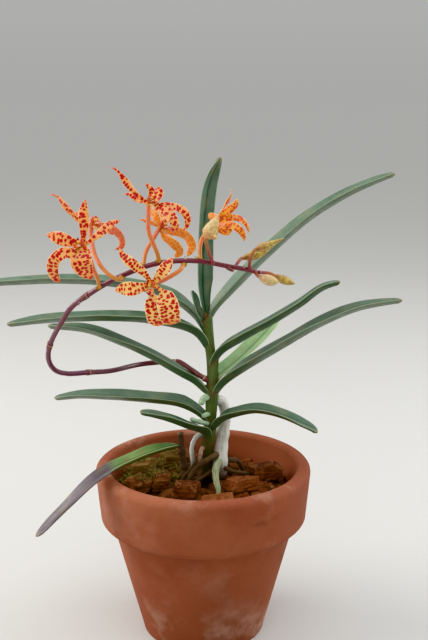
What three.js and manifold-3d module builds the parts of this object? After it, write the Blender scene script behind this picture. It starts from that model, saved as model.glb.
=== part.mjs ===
// Potted renanthera orchid: a two-ranked plant with one arching spray of flowers,
// in a clay pot filled with bark.
// Millimetres, +Z up. The origin is the middle of the pot's flat underside, and
// the front of the plant, where the spray opens, faces -Y.

import * as THREE from "three";
import { ConvexGeometry } from "three/addons/geometries/ConvexGeometry.js";
import { LoftGeometry } from "three/addons/geometries/LoftGeometry.js";
import { mergeVertices } from "three/addons/utils/BufferGeometryUtils.js";
import Module from "manifold-3d";

const wasm = await Module();
wasm.setup();

// Driving dimensions of the pot

const POT_HEIGHT = 85;
const RIM_RADIUS = 52;
const RIM_WALL = 7;
const RIM_ROUNDING = 2.6;
const INNER_ROUNDING = 2;
const COLLAR_HEIGHT = 28;
const COLLAR_LOW_RADIUS = 50;
const COLLAR_ROUNDING = 2.2;
const BODY_TOP_RADIUS = 44.5;
const NECK_HEIGHT = 2;
const FOOT_RADIUS = 30;
const FOOT_CHAMFER = 1;
const FLOOR_THICKNESS = 7;
const FLOOR_INNER_RADIUS = 25;
const DRAIN_COUNT = 3;
const DRAIN_RADIUS = 3.5;
const DRAIN_RING_RADIUS = 14;
const DRAIN_FIRST_TURN = 0.25;

// Driving dimensions of the bark

const BARK_LEVEL = 75;
const BARK_SHOULDER = 4;
const BARK_CLEARANCE = 0.45;
const CHIP_POINTS = 16;
const CHIP_WINDINGS = 3;
const CHIP_LEAST_REACH = 0.41;
const CHIP_REACH_SCATTER = 0.09;
const CHIP_NARROWING = 0.55;
const CHIP_FOOT_POINTS = 5;

// Driving dimensions of the plant

const LEAF_THICKNESS = 1.4;
const LEAF_FOLD = 0.62;
const LEAF_UNFOLDING = 0.45;
const LEAF_BASE_SHARE = 0.36;
const LEAF_OPENING_RATE = 3;
const LEAF_TIP_REACH = 0.985;
const LEAF_TIP_BLUNTNESS = 6;
const MID_HALF_RISE = 0.4;
const STEM_RADIUS = 2.3;
const OLD_STEM_RADIUS = 1.8;
const SPIKE_RADIUS = 1.25;
const STALK_RADIUS = 0.85;
const PETAL_THICKNESS = 0.8;
const PETAL_FOLD = 0.12;
const CLAW_SHARE = 0.32;
const HUB_RADIUS = 1.3;
const LIP_RADIUS = 1.35;
const BUD_STALK_RADIUS = 0.765;
const BUD_END_RADIUS = 0.35;

// Clearance left where one piece is seated on another

const SEAT_GAP = 0.3;

// The side of the plant that the flowers turn to

const FRONT = new THREE.Vector3(0, -1, 0.22);
const UP = new THREE.Vector3(0, 0, 1);

// Finishes

const finishes = {
  clay: { color: 0xb4643f, roughness: 0.85, metalness: 0 },
  bark: { color: 0x6e4430, roughness: 0.95, metalness: 0 },
  leaf: { color: 0x47655a, roughness: 0.5, metalness: 0 },
  paleLeaf: { color: 0x86a578, roughness: 0.5, metalness: 0 },
  stem: { color: 0x5c7a4a, roughness: 0.6, metalness: 0 },
  driedStem: { color: 0x4a3428, roughness: 0.9, metalness: 0 },
  root: { color: 0xcbcabd, roughness: 0.8, metalness: 0 },
  spike: { color: 0x5f2f3c, roughness: 0.45, metalness: 0 },
  stalk: { color: 0xd78450, roughness: 0.5, metalness: 0 },
  petal: { color: 0xe6b45a, roughness: 0.5, metalness: 0 },
  lip: { color: 0xbe2a1c, roughness: 0.45, metalness: 0 },
  bud: { color: 0xb4a050, roughness: 0.5, metalness: 0 },
};

const plant = new THREE.Group();

function add(name, geometry, finish) {
  const material = new THREE.MeshStandardMaterial(finishes[finish]);
  const mesh = new THREE.Mesh(geometry, material);
  mesh.name = name;
  plant.add(mesh);
}

const vectors = (points) => points.map((point) => new THREE.Vector3(...point));

const curveThrough = (points) =>
  new THREE.CatmullRomCurve3(vectors(points), false, "centripetal");

// Joining and cutting

function toSolid(geometry) {
  const bare = new THREE.BufferGeometry();
  bare.setAttribute("position", geometry.getAttribute("position"));
  bare.setIndex(geometry.index);
  const merged = mergeVertices(bare, 1e-4);
  const mesh = new wasm.Mesh({
    numProp: 3,
    vertProperties: new Float32Array(merged.attributes.position.array),
    triVerts: new Uint32Array(merged.index.array),
  });
  return new wasm.Manifold(mesh);
}

function toGeometry(solid) {
  const { vertProperties, triVerts } = solid.getMesh();
  const geometry = new THREE.BufferGeometry();
  geometry.setAttribute("position", new THREE.Float32BufferAttribute(vertProperties, 3));
  geometry.setIndex(new THREE.Uint32BufferAttribute(triVerts, 1));
  geometry.computeVertexNormals();
  return geometry;
}

// What is left of a piece outside its neighbours, without any crumb beyond them

function cutBy(geometry, ...neighbours) {
  const cut = neighbours.reduce(
    (solid, neighbour) => solid.subtract(toSolid(neighbour)),
    toSolid(geometry),
  );
  const bodies = cut.decompose().sort((a, b) => b.volume() - a.volume());
  return toGeometry(bodies[0]);
}

function joined(...geometries) {
  const whole = geometries
    .map((geometry) => toSolid(geometry))
    .reduce((sum, solid) => sum.add(solid));
  return toGeometry(whole);
}

// Points of a rounded corner about its centre, between two angles in degrees

function corner([radius, z], size, from, to, steps = 3) {
  const points = [];
  for (let i = 0; i <= steps; i++) {
    const angle = THREE.MathUtils.degToRad(from + ((to - from) * i) / steps);
    points.push([radius + size * Math.cos(angle), z + size * Math.sin(angle)]);
  }
  return points;
}

// A round limb whose radius changes along its length

function limb(points, radiusAt, { steps = 12, sides = 8, extra = 0 } = {}) {
  const curve = curveThrough(points);
  const { normals, binormals } = curve.computeFrenetFrames(steps, false);
  const sections = [];
  for (let i = 0; i <= steps; i++) {
    const t = i / steps;
    const centre = curve.getPointAt(t);
    const radius = radiusAt(t) + extra;
    const ring = [];
    for (let j = 0; j < sides; j++) {
      const angle = (j / sides) * Math.PI * 2;
      ring.push(
        centre
          .clone()
          .addScaledVector(normals[i], Math.cos(angle) * radius)
          .addScaledVector(binormals[i], Math.sin(angle) * radius),
      );
    }
    sections.push(ring);
  }
  return new LoftGeometry(sections, { capStart: true, capEnd: true });
}

const between = (from, to) => (t) => from + (to - from) * t;

// A blade: a strip with a folded section, its face turned towards a given side

function blade(points, { widthAt, thickness, foldAt, face, steps = 12, extra = 0 }) {
  const curve = curveThrough(points);
  const sections = [];
  for (let i = 0; i <= steps; i++) {
    const t = i / steps;
    const centre = curve.getPointAt(t);
    const tangent = curve.getTangentAt(t);
    const normal = face
      .clone()
      .addScaledVector(tangent, -face.dot(tangent))
      .normalize();
    const side = normal.clone().cross(tangent);
    const half = widthAt(t) / 2 + extra;
    const thick = thickness / 2 + extra;
    const rise = foldAt(t) * half;
    const midRise = rise * MID_HALF_RISE;
    const outline = [
      [half, rise],
      [half / 2, midRise + thick],
      [0, thick],
      [-half / 2, midRise + thick],
      [-half, rise],
      [-half / 2, midRise - thick],
      [0, -thick],
      [half / 2, midRise - thick],
    ];
    sections.push(
      outline.map(([across, above]) =>
        centre.clone().addScaledVector(side, across).addScaledVector(normal, above),
      ),
    );
  }
  return new LoftGeometry(sections, { capStart: true, capEnd: true });
}

// Repeatable scatter, so that every build gives the same chips

function scatter(seed) {
  const multiplier = 1664525;
  const increment = 1013904223;
  const range = 2 ** 32;
  let state = seed;
  return () => {
    state = (state * multiplier + increment) % range;
    return state / range;
  };
}

// Pot

function innerRadiusAt(z) {
  const climb = (z - FLOOR_THICKNESS) / (POT_HEIGHT - FLOOR_THICKNESS);
  return FLOOR_INNER_RADIUS + (RIM_RADIUS - RIM_WALL - FLOOR_INNER_RADIUS) * climb;
}

function pot() {
  const collarLow = POT_HEIGHT - COLLAR_HEIGHT;
  const collarEdge = [COLLAR_LOW_RADIUS - COLLAR_ROUNDING, collarLow + COLLAR_ROUNDING];
  const rimEdge = [RIM_RADIUS - RIM_ROUNDING, POT_HEIGHT - RIM_ROUNDING];
  const mouthLow = POT_HEIGHT - INNER_ROUNDING;
  const mouthEdge = [innerRadiusAt(mouthLow) + INNER_ROUNDING, mouthLow];
  const profile = [
    [0, 0],
    [FOOT_RADIUS - FOOT_CHAMFER, 0],
    [FOOT_RADIUS, FOOT_CHAMFER],
    [BODY_TOP_RADIUS, collarLow - NECK_HEIGHT],
    [BODY_TOP_RADIUS + NECK_HEIGHT / 2, collarLow],
    ...corner(collarEdge, COLLAR_ROUNDING, -90, 0),
    ...corner(rimEdge, RIM_ROUNDING, 0, 90),
    ...corner(mouthEdge, INNER_ROUNDING, 90, 180),
    [FLOOR_INNER_RADIUS, FLOOR_THICKNESS],
    [0, FLOOR_THICKNESS],
  ].map(([radius, z]) => new THREE.Vector2(radius, z));
  const shell = new THREE.LatheGeometry(profile, 40).rotateX(Math.PI / 2);
  const holes = [];
  for (let i = 0; i < DRAIN_COUNT; i++) {
    const angle = ((i + DRAIN_FIRST_TURN) / DRAIN_COUNT) * Math.PI * 2;
    const hole = new THREE.CylinderGeometry(DRAIN_RADIUS, DRAIN_RADIUS, FLOOR_THICKNESS * 4, 12);
    hole.rotateX(Math.PI / 2);
    hole.translate(DRAIN_RING_RADIUS * Math.cos(angle), DRAIN_RING_RADIUS * Math.sin(angle), 0);
    holes.push(hole);
  }
  return cutBy(shell, ...holes);
}

// Bark: one packed bed, and the larger chips that lie on it

function barkBed() {
  const low = FLOOR_THICKNESS + SEAT_GAP;
  const shoulder = BARK_LEVEL - BARK_SHOULDER;
  const profile = [
    [0, low],
    [innerRadiusAt(low) - BARK_CLEARANCE, low],
    [innerRadiusAt(shoulder) - BARK_CLEARANCE, shoulder],
    [innerRadiusAt(shoulder) - BARK_SHOULDER, BARK_LEVEL],
    [0, BARK_LEVEL],
  ].map(([radius, z]) => new THREE.Vector2(radius, z));
  return new THREE.LatheGeometry(profile, 32).rotateX(Math.PI / 2);
}

function barkChip({ at, size, turn, seed }) {
  const random = scatter(seed);
  const points = [];
  for (let i = 0; i < CHIP_POINTS; i++) {
    const azimuth = ((i + random() / 2) / CHIP_POINTS) * CHIP_WINDINGS * Math.PI * 2;
    const height = i / (CHIP_POINTS - 1);
    const narrowing = Math.sqrt(1 - CHIP_NARROWING * height * height);
    const reach = (CHIP_LEAST_REACH + CHIP_REACH_SCATTER * random()) * narrowing;
    points.push(
      new THREE.Vector3(
        Math.cos(azimuth) * reach * size[0],
        Math.sin(azimuth) * reach * size[1],
        height * size[2],
      ),
    );
  }
  for (const point of points.slice(0, CHIP_FOOT_POINTS)) {
    points.push(new THREE.Vector3(point.x, point.y, 0));
  }
  const chip = new ConvexGeometry(points);
  chip.rotateZ(turn);
  return chip.translate(at[0], at[1], BARK_LEVEL + SEAT_GAP);
}

const barkChips = [
  { at: [30, 3], size: [17, 14, 9], turn: 0.2, seed: 11 },
  { at: [18, -14], size: [15, 13, 8], turn: 0.5, seed: 23 },
  { at: [-8, -20], size: [14, 12, 8], turn: -0.2, seed: 37 },
  { at: [-20, -9], size: [9, 12, 8.5], turn: 0.1, seed: 41 },
  { at: [-31, -14], size: [11, 12, 7.5], turn: 0.9, seed: 59 },
  { at: [-30, 9], size: [15, 13, 8], turn: 1.3, seed: 67 },
  { at: [-15, 23], size: [15, 13, 8], turn: 0.3, seed: 71 },
  { at: [5, 27], size: [14, 12, 7], turn: 2.1, seed: 83 },
  { at: [7, -33], size: [14, 10, 6], turn: 0.1, seed: 97 },
];

// Stems

const stemPath = [
  [1.5, 5, BARK_LEVEL + SEAT_GAP],
  [2, 4.5, 84],
  [2.8, 3, 96],
  [3.8, 1, 110],
  [4.2, 0, 124],
  [4.2, 0, 136],
  [2.6, 0, 148],
  [1, 0, 160],
];

const stemRadiusAt = (t) => STEM_RADIUS * (1 - 0.3 * t * t);

const stem = (extra = 0) => limb(stemPath, stemRadiusAt, { steps: 20, extra });

const oldStemPath = [
  [-9, 0, BARK_LEVEL + SEAT_GAP],
  [-9.5, -1, 84],
  [-10.5, -3, 93],
  [-11, -4, 102],
];

const oldStem = (extra = 0) =>
  limb(oldStemPath, between(OLD_STEM_RADIUS, OLD_STEM_RADIUS * 0.8), { steps: 8, extra });

// Leaves: folded straps in two ranks, left and right of the stem

function leafWidthAt(width, baseShare) {
  return (t) => {
    const opening = Math.min(1, baseShare + t * LEAF_OPENING_RATE);
    const rounding = Math.sqrt(1 - Math.pow(LEAF_TIP_REACH * t, LEAF_TIP_BLUNTNESS));
    return width * opening * rounding;
  };
}

const leafFoldAt = (t) => LEAF_FOLD * (1 - LEAF_UNFOLDING * t);

function leaf({ path, width, face = UP, baseShare = LEAF_BASE_SHARE, steps = 12 }, carrier) {
  const shape = {
    widthAt: leafWidthAt(width, baseShare),
    thickness: LEAF_THICKNESS,
    foldAt: leafFoldAt,
    face,
    steps,
  };
  const strap = blade(path, shape);
  return carrier ? cutBy(strap, carrier(SEAT_GAP)) : strap;
}

const stemLeaves = {
  leaf_right_1: {
    width: 13,
    path: [
      [2, 0, 155], [6, 0.5, 161.5], [14, 2, 170], [31.5, 5, 187],
      [50, 8, 203], [69, 10, 214.5], [90, 12, 223.5],
    ],
  },
  leaf_right_2: {
    width: 11,
    path: [
      [3.5, 0, 133], [8, -1, 140], [17.5, -3, 147], [31, -6, 155.5],
      [45, -8, 165], [54.5, -10, 173], [62.5, -12, 176.5],
    ],
  },
  leaf_right_3: {
    width: 12,
    path: [
      [4.2, 0, 117], [9, -1, 124.5], [20, -4, 133.5], [36, -6, 144],
      [54, -8, 155.5], [72.5, -8, 163.5], [92, -8, 167],
    ],
  },
  leaf_right_4: {
    width: 10,
    path: [
      [4.2, 1, 123], [7.5, 5.5, 126.5], [15, 15, 130], [23, 26, 134.5],
      [31, 38, 139.5], [39.5, 50, 145.5],
    ],
  },
  leaf_right_5: {
    width: 10,
    path: [
      [3.8, 0, 101], [9, -2.5, 107.5], [15.5, -4, 110.5], [25, -6, 113],
      [36.5, -10, 112], [48, -14, 108], [53.5, -16, 105.5],
    ],
  },
  leaf_left_1: {
    width: 12,
    path: [
      [1, 0.5, 150], [-3.5, 1.5, 157], [-11, 2, 163.5], [-22.5, 4, 168.5],
      [-44, 6, 172], [-68, 8, 173], [-97, 10, 171.5], [-112, 11, 170],
    ],
  },
  leaf_left_2: {
    width: 12,
    path: [
      [1.5, 0, 143], [-3, -2, 149.5], [-8.5, -4, 153], [-24.5, -9, 157.5],
      [-42, -15, 160], [-64, -21, 161], [-87, -26, 160],
    ],
  },
  leaf_left_3: {
    width: 11,
    path: [
      [3, 0, 119], [-4, -1, 126], [-11, -3, 130.5], [-25, -6, 140],
      [-38.5, -8, 147], [-52.5, -8, 152.5], [-72, -7, 155],
    ],
  },
  leaf_left_4: {
    width: 12,
    path: [
      [3.5, 0, 104.5], [-3, 1, 110], [-11, 2, 113.5], [-26, 4, 115],
      [-45, 6, 116], [-60, 8, 116], [-73, 10, 114.5],
    ],
  },
  leaf_left_5: {
    width: 9,
    path: [[2.8, 1, 92.5], [-1, -4, 101.5], [-6, -8, 105.5], [-17.5, -14, 112], [-29, -18, 116.5]],
  },
};

const topLeaf = {
  width: 10,
  face: new THREE.Vector3(0.7, -0.7, 0.1),
  baseShare: 0.3,
  path: [
    [0.9, 0, 160.4], [-0.4, -0.5, 170], [-0.3, -4, 190], [0.7, -10, 209],
    [3, -14, 222.5], [8, -19, 233],
  ],
};

const spearLeaf = {
  width: 4.5,
  face: new THREE.Vector3(0.8, -0.6, 0.3),
  steps: 6,
  path: [[0.2, -0.8, 155.5], [-2.6, -3.2, 161], [-3.8, -4, 166], [-5, -4.5, 171]],
};

// The lowest leaf is an old one: it springs from the dried stem, crosses the rim and hangs
const bentLeaf = {
  width: 9,
  steps: 16,
  path: [
    [-10.8, -3.5, 95], [-20.5, -12, 95.5], [-32, -17, 92.5], [-42, -22, 89.5],
    [-49, -27.5, 86.5], [-58, -33, 79.5], [-69, -38, 70], [-75, -42, 65.5],
  ],
};

// Roots

const thickRootPath = [
  [5, 2, 116],
  [9, 4, 114.5],
  [10.5, 5.8, 108],
  [9.8, 5.8, 100],
  [9, 4, 92],
  [8.4, 2, 85],
  [8, 1, 76.5],
];

const thickRoot = (extra = 0) => limb(thickRootPath, between(2.2, 3.1), { steps: 12, extra });

const lesserRoots = {
  root_left: {
    from: 1.7,
    to: 1.2,
    carrier: thickRoot,
    path: [[7.5, 1, 89], [3, -2, 87.5], [-3, -4.5, 84], [-9, -8, 77]],
  },
  root_right: {
    from: 1.6,
    to: 1.1,
    carrier: thickRoot,
    path: [[8.4, 2, 86], [13, 4, 84.5], [17, 9, 82], [20, 13.5, 77]],
  },
  root_front: {
    from: 1.7,
    to: 1.1,
    carrier: thickRoot,
    path: [[8.5, 0, 85], [8, -5, 85], [5.5, -13, 83], [3, -22, 77]],
  },
  root_cream: {
    from: 1.3,
    to: 1.1,
    carrier: stem,
    path: [[2.6, 4, 98], [-3, 4.5, 96.5], [-5.5, 3, 92], [-5.2, 2.5, 85], [-5, 2.5, 76.8]],
  },
  root_tip: {
    from: 1.3,
    to: 0.7,
    carrier: stem,
    path: [[3.9, 0.5, 117], [1, -2.5, 115.5], [-1, -4, 112.5]],
  },
};

// Flower spike: it leaves the stem to the left, swings forward and climbs back over the front

const spikePath = [
  [3.8, 0, 126],
  [0, -1, 128],
  [-5.5, 3.5, 130.5],
  [-11.5, 6, 133.5],
  [-18.5, 7, 133.5],
  [-29.5, 5, 133],
  [-42.5, -12, 134.5],
  [-50.5, -27, 138],
  [-58.5, -43, 142],
  [-62, -54, 147],
  [-63, -61, 153.5],
  [-61.5, -66, 160],
  [-58, -72, 167],
  [-54, -78, 173.5],
  [-49.5, -83, 180],
  [-38, -91, 189],
  [-29.5, -94, 194],
  [-16, -95, 199],
  [-2, -92, 199.5],
  [11, -87, 196.5],
  [17.5, -85, 195],
  [22, -83, 193.5],
];

const spikeRadiusAt = (t) => SPIKE_RADIUS * (1 - 0.3 * t);

const spike = (extra = 0) => limb(spikePath, spikeRadiusAt, { steps: 48, extra });

// Flowers: five tepals joined at the hub, a lip in front and a stalk behind.
// Tepal and lip points are measured from the hub; a stalk runs from the spike to the hub.

const flowers = {
  a: {
    hub: [-42, -100, 206.5],
    stalk: [[-37.5, -91.5, 189], [-38, -94, 193], [-39.5, -96, 198], [-40.5, -98, 203]],
    lip: [-2, -2.6, 1],
    tepals: [
      { width: 4.2, path: [[0.5, -1, 8.5], [1, 0, 16.5]] },
      { width: 4.6, path: [[-6.5, -2, 2.5], [-13, 0, 4]] },
      { width: 3.4, path: [[6, 2, 4.5], [12.5, 6, 8.5]] },
      {
        width: 4.2,
        path: [
          [-3.5, -3, -2.5], [-6.5, -5, -1.5], [-10, -5, -3.5], [-12, -4, -7],
          [-11.5, -2, -10.5], [-10, 1, -13],
        ],
      },
      { width: 6.8, path: [[-0.5, -3, -3.5], [-0.5, -4, -6], [2.5, -1, -12]] },
    ],
  },
  b: {
    hub: [-40.5, -88, 212.5],
    stalk: [
      [-28.8, -94, 193.9], [-30, -97, 193.4], [-33, -97.5, 195], [-36, -96, 197.7],
      [-39, -92.5, 202], [-40.5, -89, 208],
    ],
    lip: [2.6, -1.6, 1.6],
    tepals: [
      { width: 2.6, path: [[-4, -1, 2.5], [-8.5, -1, 7], [-11.5, 0, 10], [-15, 1, 11]] },
      { width: 3, path: [[-3.5, 2, 3.5], [-8, 5, 5.5]] },
      { width: 3.4, path: [[0.5, 6, 3], [1.5, 12, 6]] },
      {
        width: 2.8,
        path: [[5, 0, 0], [8.5, 0, -2], [11, 1, -5], [11.5, 2, -8.5], [10, 2, -10], [7.5, 2, -10]],
      },
      { width: 4, path: [[4, 5, -1], [6.5, 9, -3.5], [8.5, 12, -6.5], [8.5, 14, -10]] },
    ],
  },
  c: {
    hub: [-18.5, -98, 221.5],
    stalk: [
      [-15, -95, 199.5], [-15.5, -97, 203], [-17, -98, 207], [-18.5, -98.5, 211.5],
      [-18.5, -98.5, 218],
    ],
    lip: [2.4, -1.6, 2],
    tepals: [
      { width: 3, path: [[-3, -1, 3], [-7.5, -2, 8], [-10, -2, 11], [-13, -1, 13]] },
      { width: 2.6, path: [[-3.5, 3, 1.5], [-6.5, 5, 3.5], [-9, 7, 3.5]] },
      { width: 3, path: [[0, 1, 2.5], [0, 0, 5], [-1, 0, 7.5]] },
      {
        width: 3.4,
        path: [
          [4.5, 1, -1], [8, 1, -0.5], [11.5, 2, -1.5], [14, 3, -4],
          [14.5, 3, -7.5], [12.5, 3, -10.5],
        ],
      },
      {
        width: 3.6,
        path: [[4.5, -2, -2], [7.5, -4, -2.5], [10, -5, -4], [11, -5, -6.5], [9, -3, -10.5]],
      },
    ],
  },
  d: {
    hub: [-15, -86, 211],
    stalk: [[-21, -94.5, 197.5], [-20, -92, 203], [-18, -90, 206.5], [-16.5, -88, 209]],
    lip: [2.6, -1.6, 1.2],
    tepals: [
      { width: 3.2, path: [[-1.5, 0, 4], [-3.5, 2, 8]] },
      { width: 2.8, path: [[-3.5, -1, 2.5], [-7.5, -2, 4]] },
      { width: 4, path: [[1.5, 2.5, 3.5], [3, 6, 5]] },
      {
        width: 4,
        path: [[3, 2, -1], [6.5, 3, -1.5], [10.5, 4, -3.5], [12.5, 4, -7], [9, 3, -11.5]],
      },
      {
        width: 4,
        path: [[1.5, -1.5, -2.5], [4, -3, -4], [6.5, -3, -6], [7, -2, -8.5], [6, -1.5, -11]],
      },
    ],
  },
  e: {
    hub: [-17.5, -99, 192],
    stalk: [[-6, -92.6, 199], [-7, -96, 197], [-10, -97, 195], [-14, -98, 193]],
    lip: [-0.8, -3, -0.6],
    tepals: [
      { width: 3.8, path: [[-5, -2, 7], [-11.5, 0, 13]] },
      { width: 5, path: [[-6.5, -2.5, -1], [-13.5, 0, -2]] },
      { width: 4, path: [[4, -2, 5], [7.5, 0, 9.5]] },
      { width: 7, path: [[0.5, -0.5, -4.5], [0.5, -3, -9.5], [1, -1.5, -15.5]] },
      { width: 6.6, path: [[4, -0.5, -2.5], [7.2, -2, -8], [8.4, -1, -14]] },
    ],
  },
  f: {
    hub: [7, -90, 214],
    stalk: [[0, -91, 199.5], [0, -89, 204.5], [1, -87.5, 207.5], [4.5, -87.5, 211.5]],
    lip: [2.8, -1.4, 1.8],
    tepals: [
      { width: 3.4, path: [[-2, 5, 1], [-3.5, 9, 0]] },
      { width: 2.6, path: [[1.5, 0, 5], [4, -1, 9], [4.5, 0, 12]] },
      { width: 3.2, path: [[0.5, -3, 3.5], [3.5, -6, 6.5], [6.5, -6, 9]] },
      {
        width: 3,
        path: [[3.5, 0.5, 0], [6.5, 0, 0.8], [9, -1, -0.7], [10.5, -1, -2.5], [11, 0, -4.5]],
      },
      { width: 3, path: [[2, -3, -1], [6, -6.5, -1.5], [8.5, -8, -2.7], [9, -7, -4], [9, -6, -6]] },
    ],
  },
};

const tepalWidthAt = (width) => (t) => {
  const narrow = CLAW_SHARE * width;
  const bulge = Math.pow(Math.sin(Math.PI * (0.08 + 0.9 * t)), 0.8);
  return narrow + (width - narrow) * bulge;
};

function tepals(flower, extra = 0) {
  const hub = new THREE.SphereGeometry(HUB_RADIUS + extra, 8, 6);
  const blades = flower.tepals.map(({ width, path }) =>
    blade([[0, 0, 0], ...path], {
      widthAt: tepalWidthAt(width),
      thickness: PETAL_THICKNESS,
      foldAt: () => PETAL_FOLD,
      face: FRONT,
      steps: 3 + path.length,
      extra,
    }),
  );
  return joined(hub, ...blades).translate(...flower.hub);
}

function lip(flower) {
  const cup = new THREE.SphereGeometry(LIP_RADIUS, 8, 6);
  cup.translate(...flower.lip);
  cup.translate(...flower.hub);
  return cutBy(cup, tepals(flower, SEAT_GAP));
}

function stalk(flower) {
  const swelling = between(STALK_RADIUS, STALK_RADIUS * 1.1);
  const tube = limb([...flower.stalk, flower.hub], swelling, { steps: 9 });
  return cutBy(tube, spike(SEAT_GAP), tepals(flower, SEAT_GAP));
}

// Buds: a stalk from the spike, and a spindle that ends it

const buds = {
  bud_1: {
    radius: 2.3,
    stalk: [[5, -89.8, 197.6], [3.2, -94, 203.5], [2, -95.5, 208.5]],
    tip: [7, -95, 217.5],
  },
  bud_2: {
    radius: 1.5,
    stalk: [[18.5, -84.6, 194.7], [19, -87.5, 200], [20.5, -88, 203]],
    tip: [31.5, -86, 207],
  },
  bud_3: {
    radius: 1.7,
    stalk: [[13, -86.3, 195.9], [14.5, -83.5, 197.5], [16.5, -81.5, 199]],
    tip: [26.5, -80, 202],
  },
  bud_4: { radius: 2, stalk: [[20.5, -83.7, 194], [22, -85.5, 192.5]], tip: [29.5, -87, 190] },
  bud_5: {
    radius: 1.5,
    stalk: [[21.8, -83.1, 193.6], [26, -80.5, 192.8], [28.5, -80, 191.8]],
    tip: [36.5, -80, 188.5],
  },
};

function bud({ radius, stalk: stalkPath, tip }) {
  const neck = stalkPath.at(-1);
  const tube = limb(stalkPath, () => BUD_STALK_RADIUS, { steps: 5 });
  const middle = neck.map((value, axis) => (value + tip[axis]) / 2);
  const swelling = (t) => {
    const bulge = Math.pow(Math.sin(Math.PI * (0.12 + 0.84 * t)), 0.7);
    return BUD_END_RADIUS + (radius - BUD_END_RADIUS) * bulge;
  };
  const spindle = limb([neck, middle, tip], swelling, { steps: 8 });
  return cutBy(joined(tube, spindle), spike(SEAT_GAP));
}

// The whole plant

add("pot", pot(), "clay");
add("bark_bed", barkBed(), "bark");
barkChips.forEach((chip, i) => add(`bark_chip_${i + 1}`, barkChip(chip), "bark"));
add("stem", stem(), "stem");
add("old_stem", oldStem(), "driedStem");
add("leaf_top", leaf(topLeaf), "leaf");
add("leaf_spear", leaf(spearLeaf, stem), "leaf");
for (const [name, shape] of Object.entries(stemLeaves)) {
  add(name, leaf(shape, stem), name === "leaf_right_4" ? "paleLeaf" : "leaf");
}
add("leaf_left_6", leaf(bentLeaf, oldStem), "leaf");
add("root_thick", cutBy(thickRoot(), stem(SEAT_GAP)), "root");
for (const [name, { from, to, carrier, path }] of Object.entries(lesserRoots)) {
  add(name, cutBy(limb(path, between(from, to), { steps: 8 }), carrier(SEAT_GAP)), "root");
}
add("flower_spike", cutBy(spike(), stem(SEAT_GAP)), "spike");
for (const [letter, flower] of Object.entries(flowers)) {
  add(`flower_${letter}_stalk`, stalk(flower), "stalk");
  add(`flower_${letter}_petals`, tepals(flower), "petal");
  add(`flower_${letter}_lip`, lip(flower), "lip");
}
for (const [name, shape] of Object.entries(buds)) {
  add(name, bud(shape), "bud");
}

export default plant;
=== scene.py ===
"""Potted renanthera orchid: stiff folded leaves, a spray of spotted flowers, and a clay pot of bark.

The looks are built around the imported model. Lengths in this file are millimetres in the model's own
frame, and MM turns them into the metres that Blender works in. Distances inside finishes, and the
places of lights, are in metres.
"""

import logging
import math
from dataclasses import dataclass, field
from enum import Enum
from typing import Callable, Iterable, Sequence

import bmesh
import bpy
import numpy as np
from mathutils import Matrix, Vector


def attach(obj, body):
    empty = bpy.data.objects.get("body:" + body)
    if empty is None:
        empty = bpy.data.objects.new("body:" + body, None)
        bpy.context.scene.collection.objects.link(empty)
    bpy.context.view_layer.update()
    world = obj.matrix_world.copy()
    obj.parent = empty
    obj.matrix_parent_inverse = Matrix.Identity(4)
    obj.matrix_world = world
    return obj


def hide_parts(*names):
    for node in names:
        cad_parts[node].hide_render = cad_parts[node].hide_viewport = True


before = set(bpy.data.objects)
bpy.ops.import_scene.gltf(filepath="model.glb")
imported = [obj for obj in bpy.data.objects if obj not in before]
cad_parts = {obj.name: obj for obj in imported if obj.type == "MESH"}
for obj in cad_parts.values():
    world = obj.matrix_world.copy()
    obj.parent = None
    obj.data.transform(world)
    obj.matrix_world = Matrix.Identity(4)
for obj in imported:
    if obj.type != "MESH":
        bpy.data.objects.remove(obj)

log = logging.getLogger("orchid")

Array = np.ndarray
Point = tuple[float, float, float]
Material = bpy.types.Material
Node = bpy.types.Node
Object = bpy.types.Object
Socket = bpy.types.NodeSocket

MM = 0.001
TAU = 2 * math.pi
BODY = "root"

# The side that the flowers turn to, the side that those seen from behind turn to, and the way up
FRONT = (0.0, -1.0, 0.22)
AWAY = (0.25, 0.92, 0.3)
UP = (0.0, 0.0, 1.0)

# Where the bark's general surface lies in the pot
BARK_LEVEL = 75.0

# How far apart the patterns of two pieces lie, for each 1 between their own numbers
SEED_STEP = 20.0


class Slot(Enum):
    """The record's material slots."""

    CLAY = "clay"
    BARK = "bark"
    STEM = "stem"
    DRIED_STEM = "dried_stem"
    LEAF = "leaf"
    PALE_LEAF = "pale_leaf"
    OLD_LEAF = "old_leaf"
    ROOT = "root"
    SPIKE = "spike"
    STALK = "stalk"
    PETAL = "petal"
    LIP = "lip"
    BUD = "bud"


class Outline(Enum):
    """How wide a tepal is along its length, as (share of length, share of width) points."""

    SPOON = ((0.0, 0.40), (0.14, 0.46), (0.34, 0.76), (0.56, 1.0), (0.73, 0.90), (0.86, 0.60), (0.95, 0.32),
             (1.0, 0.10))
    STRAP = ((0.0, 0.36), (0.14, 0.58), (0.32, 0.92), (0.55, 1.0), (0.76, 0.88), (0.90, 0.58), (1.0, 0.14))
    WEDGE = ((0.0, 0.34), (0.14, 0.72), (0.34, 1.0), (0.56, 0.94), (0.76, 0.66), (0.91, 0.36), (1.0, 0.12))
    HORN = ((0.0, 0.50), (0.20, 0.62), (0.42, 0.84), (0.58, 1.0), (0.72, 0.74), (0.84, 0.38), (0.93, 0.25),
            (1.0, 0.16))
    FAN = ((0.0, 0.20), (0.20, 0.19), (0.29, 0.46), (0.38, 0.84), (0.56, 1.0), (0.80, 0.97), (0.93, 0.82),
           (1.0, 0.50))
    HOOD = ((0.0, 0.30), (0.18, 0.62), (0.42, 0.96), (0.66, 1.0), (0.86, 0.80), (0.96, 0.52), (1.0, 0.30))


# Geometry


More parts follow.
